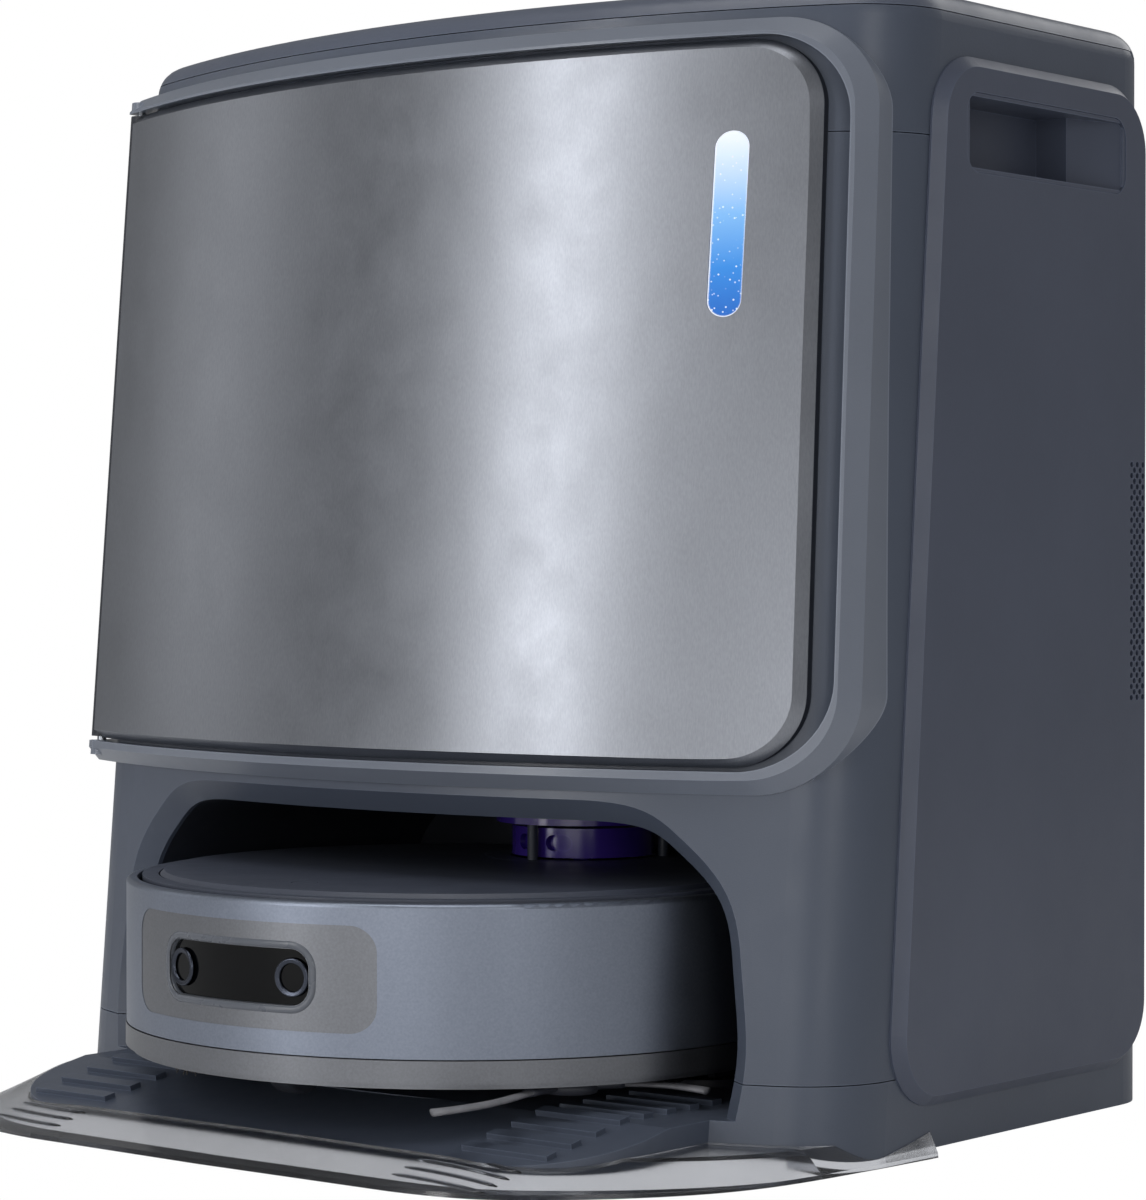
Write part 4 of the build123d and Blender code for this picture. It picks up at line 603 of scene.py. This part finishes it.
def build_dust_bag():
    """Fleece bag that bulges between its corners and sags, under a card collar."""
    low, high = millimetres("dust_bag")
    middle = (low + high) / 2
    half = (high - low) / 2
    rings = []
    for row in range(33):
        share = row / 32
        level = low.z + 1 + share * (high.z - low.z - 9)
        ends = min(1.0, (max(0.0, 1 - abs(2 * share - 1) ** 5)) ** 0.5 + 0.06)
        belly = 0.88 + 0.12 * math.sin(math.pi * (1 - share) ** 1.4)
        ring = []
        for step in range(72):
            a = 2 * math.pi * step / 72
            c, d = math.cos(a), math.sin(a)
            wide = math.copysign(abs(c) ** 0.55, c)
            deep = math.copysign(abs(d) ** 0.7, d)
            crease = 1 - 0.035 * math.cos(14 * a) * (0.4 + 0.6 * share) - 0.02 * math.sin(9 * share + 3 * a)
            ring.append(
                (
                    middle.x + (half.x - 2) * wide * min(1, belly * crease) * (0.6 + 0.4 * ends),
                    middle.y + (half.y - 1) * deep * min(1, belly * crease) * ends,
                    level,
                )
            )
        rings.append(ring)
    points, faces = skin_rings(rings)
    bag = add_piece("bag_fleece", points, faces, bag_cloth, "dock")
    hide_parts("dust_bag")
    collar = []
    for inset, drop in ((3, 7.2), (1.6, 6.4), (1.2, 3), (1.6, 0.8), (3, 0.2)):
        level = high.z - drop
        ring = []
        for step in range(64):
            a = 2 * math.pi * step / 64
            c, d = math.cos(a), math.sin(a)
            wide = math.copysign(abs(c) ** 0.3, c) * (half.x * 0.74 - inset)
            deep = math.copysign(abs(d) ** 0.3, d) * (half.y - inset)
            ring.append((middle.x + wide, middle.y + deep, level))
        collar.append(ring)
    points, faces = skin_rings(collar)
    add_piece("bag_collar", points, faces, collar_card, "dock")


bpy.context.view_layer.update()
build_window_surround()
build_lens_rings()
build_ramp_ribs()
build_brush_right()
build_brush_left()
for hand in ("left", "right"):
    build_mop_pad(hand)
build_dust_bag()


# ---------------------------------------------------------------- light, floor and camera
def area_light(name, azimuth, height, distance, size, power, colour=(1, 1, 1)):
    """Soft rectangular light that faces the dock's middle; azimuth 0 is in front, 90 to the right."""
    data = bpy.data.lights.new(name, "AREA")
    data.shape = "RECTANGLE"
    data.size, data.size_y = size
    data.energy = power
    data.color = colour
    lamp = bpy.data.objects.new(name, data)
    bpy.context.scene.collection.objects.link(lamp)
    angle = math.radians(azimuth)
    lamp.location = (distance * math.sin(angle), -distance * math.cos(angle), height)
    aim = Vector((0, 0, 0.26)) - lamp.location
    lamp.rotation_euler = aim.to_track_quat("-Z", "Y").to_euler()
    return lamp


def build_light():
    """Plain soft studio light round a pale room."""
    area_light("strip_left", -16.5, 0.8, 2.4, (0.34, 2.4), 18)
    area_light("strip_soft", 4, 0.8, 2.6, (0.26, 2.2), 1.6)
    area_light("front_fill", 22, 0.34, 2.8, (1.3, 0.7), 6)
    area_light("fill_left", -70, 1.0, 2.6, (1.0, 1.6), 3.2)
    area_light("fill_right", 58, 1.0, 2.8, (0.7, 1.8), 8)
    area_light("overhead", 10, 2.6, 0.8, (1.8, 1.4), 18)
    area_light("behind", 170, 1.7, 2.4, (1.6, 1.2), 9)
    world = bpy.data.worlds.new("studio")
    bpy.context.scene.world = world
    world.use_nodes = True
    tree = world.node_tree
    background = tree.nodes["Background"]
    background.inputs["Color"].default_value = (0.80, 0.81, 0.83, 1)
    background.inputs["Strength"].default_value = 0.27
    seen = add_node(tree, "ShaderNodeBackground", Strength=1.0)
    seen.inputs["Color"].default_value = (1, 1, 1, 1)
    path = tree.nodes.new("ShaderNodeLightPath")
    mix = tree.nodes.new("ShaderNodeMixShader")
    tree.links.new(path.outputs["Is Camera Ray"], mix.inputs["Fac"])
    tree.links.new(background.outputs["Background"], mix.inputs[1])
    tree.links.new(seen.outputs["Background"], mix.inputs[2])
    tree.links.new(mix.outputs["Shader"], tree.nodes["World Output"].inputs["Surface"])


def build_floor():
    """Plain pale floor."""
    mesh = bpy.data.meshes.new("floor")
    form = bmesh.new()
    bmesh.ops.create_grid(form, x_segments=2, y_segments=2, size=6.0)
    form.to_mesh(mesh)
    form.free()
    floor = bpy.data.objects.new("floor", mesh)
    bpy.context.scene.collection.objects.link(floor)
    floor.location.z = -0.0004
    material, tree, shader = start_material("floor_pale")
    tone = between(tree, noise(tree, 2, 3), 0, 1)
    pale = blend_colours(tree, tone, (0.93, 0.93, 0.93, 1), (0.96, 0.96, 0.96, 1))
    tree.links.new(pale, shader.inputs["Base Color"])
    shader.inputs["Roughness"].default_value = 0.7
    white = add_node(tree, "ShaderNodeEmission", Strength=1.0)
    path = tree.nodes.new("ShaderNodeLightPath")
    direct = tree.nodes.new("ShaderNodeMath")
    direct.operation = "MAXIMUM"
    tree.links.new(path.outputs["Is Camera Ray"], direct.inputs[0])
    tree.links.new(path.outputs["Is Transmission Ray"], direct.inputs[1])
    backlit = tree.nodes.new("ShaderNodeMixShader")
    tree.links.new(direct.outputs[0], backlit.inputs["Fac"])
    tree.links.new(shader.outputs["BSDF"], backlit.inputs[1])
    tree.links.new(white.outputs["Emission"], backlit.inputs[2])
    tree.links.new(backlit.outputs["Shader"], tree.nodes["Material Output"].inputs["Surface"])
    mesh.materials.append(material)


def build_camera():
    """Camera low at the front right, with a long lens."""
    data = bpy.data.cameras.new("camera")
    data.lens = 107.5
    data.sensor_width = 36.0
    data.shift_x = 0.0368
    data.shift_y = 0.0016
    camera = bpy.data.objects.new("camera", data)
    bpy.context.scene.collection.objects.link(camera)
    camera.location = (1.1296, -1.3542, 0.2680)
    camera.rotation_euler = (math.radians(90 - 0.613), 0, math.radians(39.491))
    bpy.context.scene.camera = camera


bpy.context.scene.view_settings.view_transform = "Standard"
build_light()
build_floor()
build_camera()
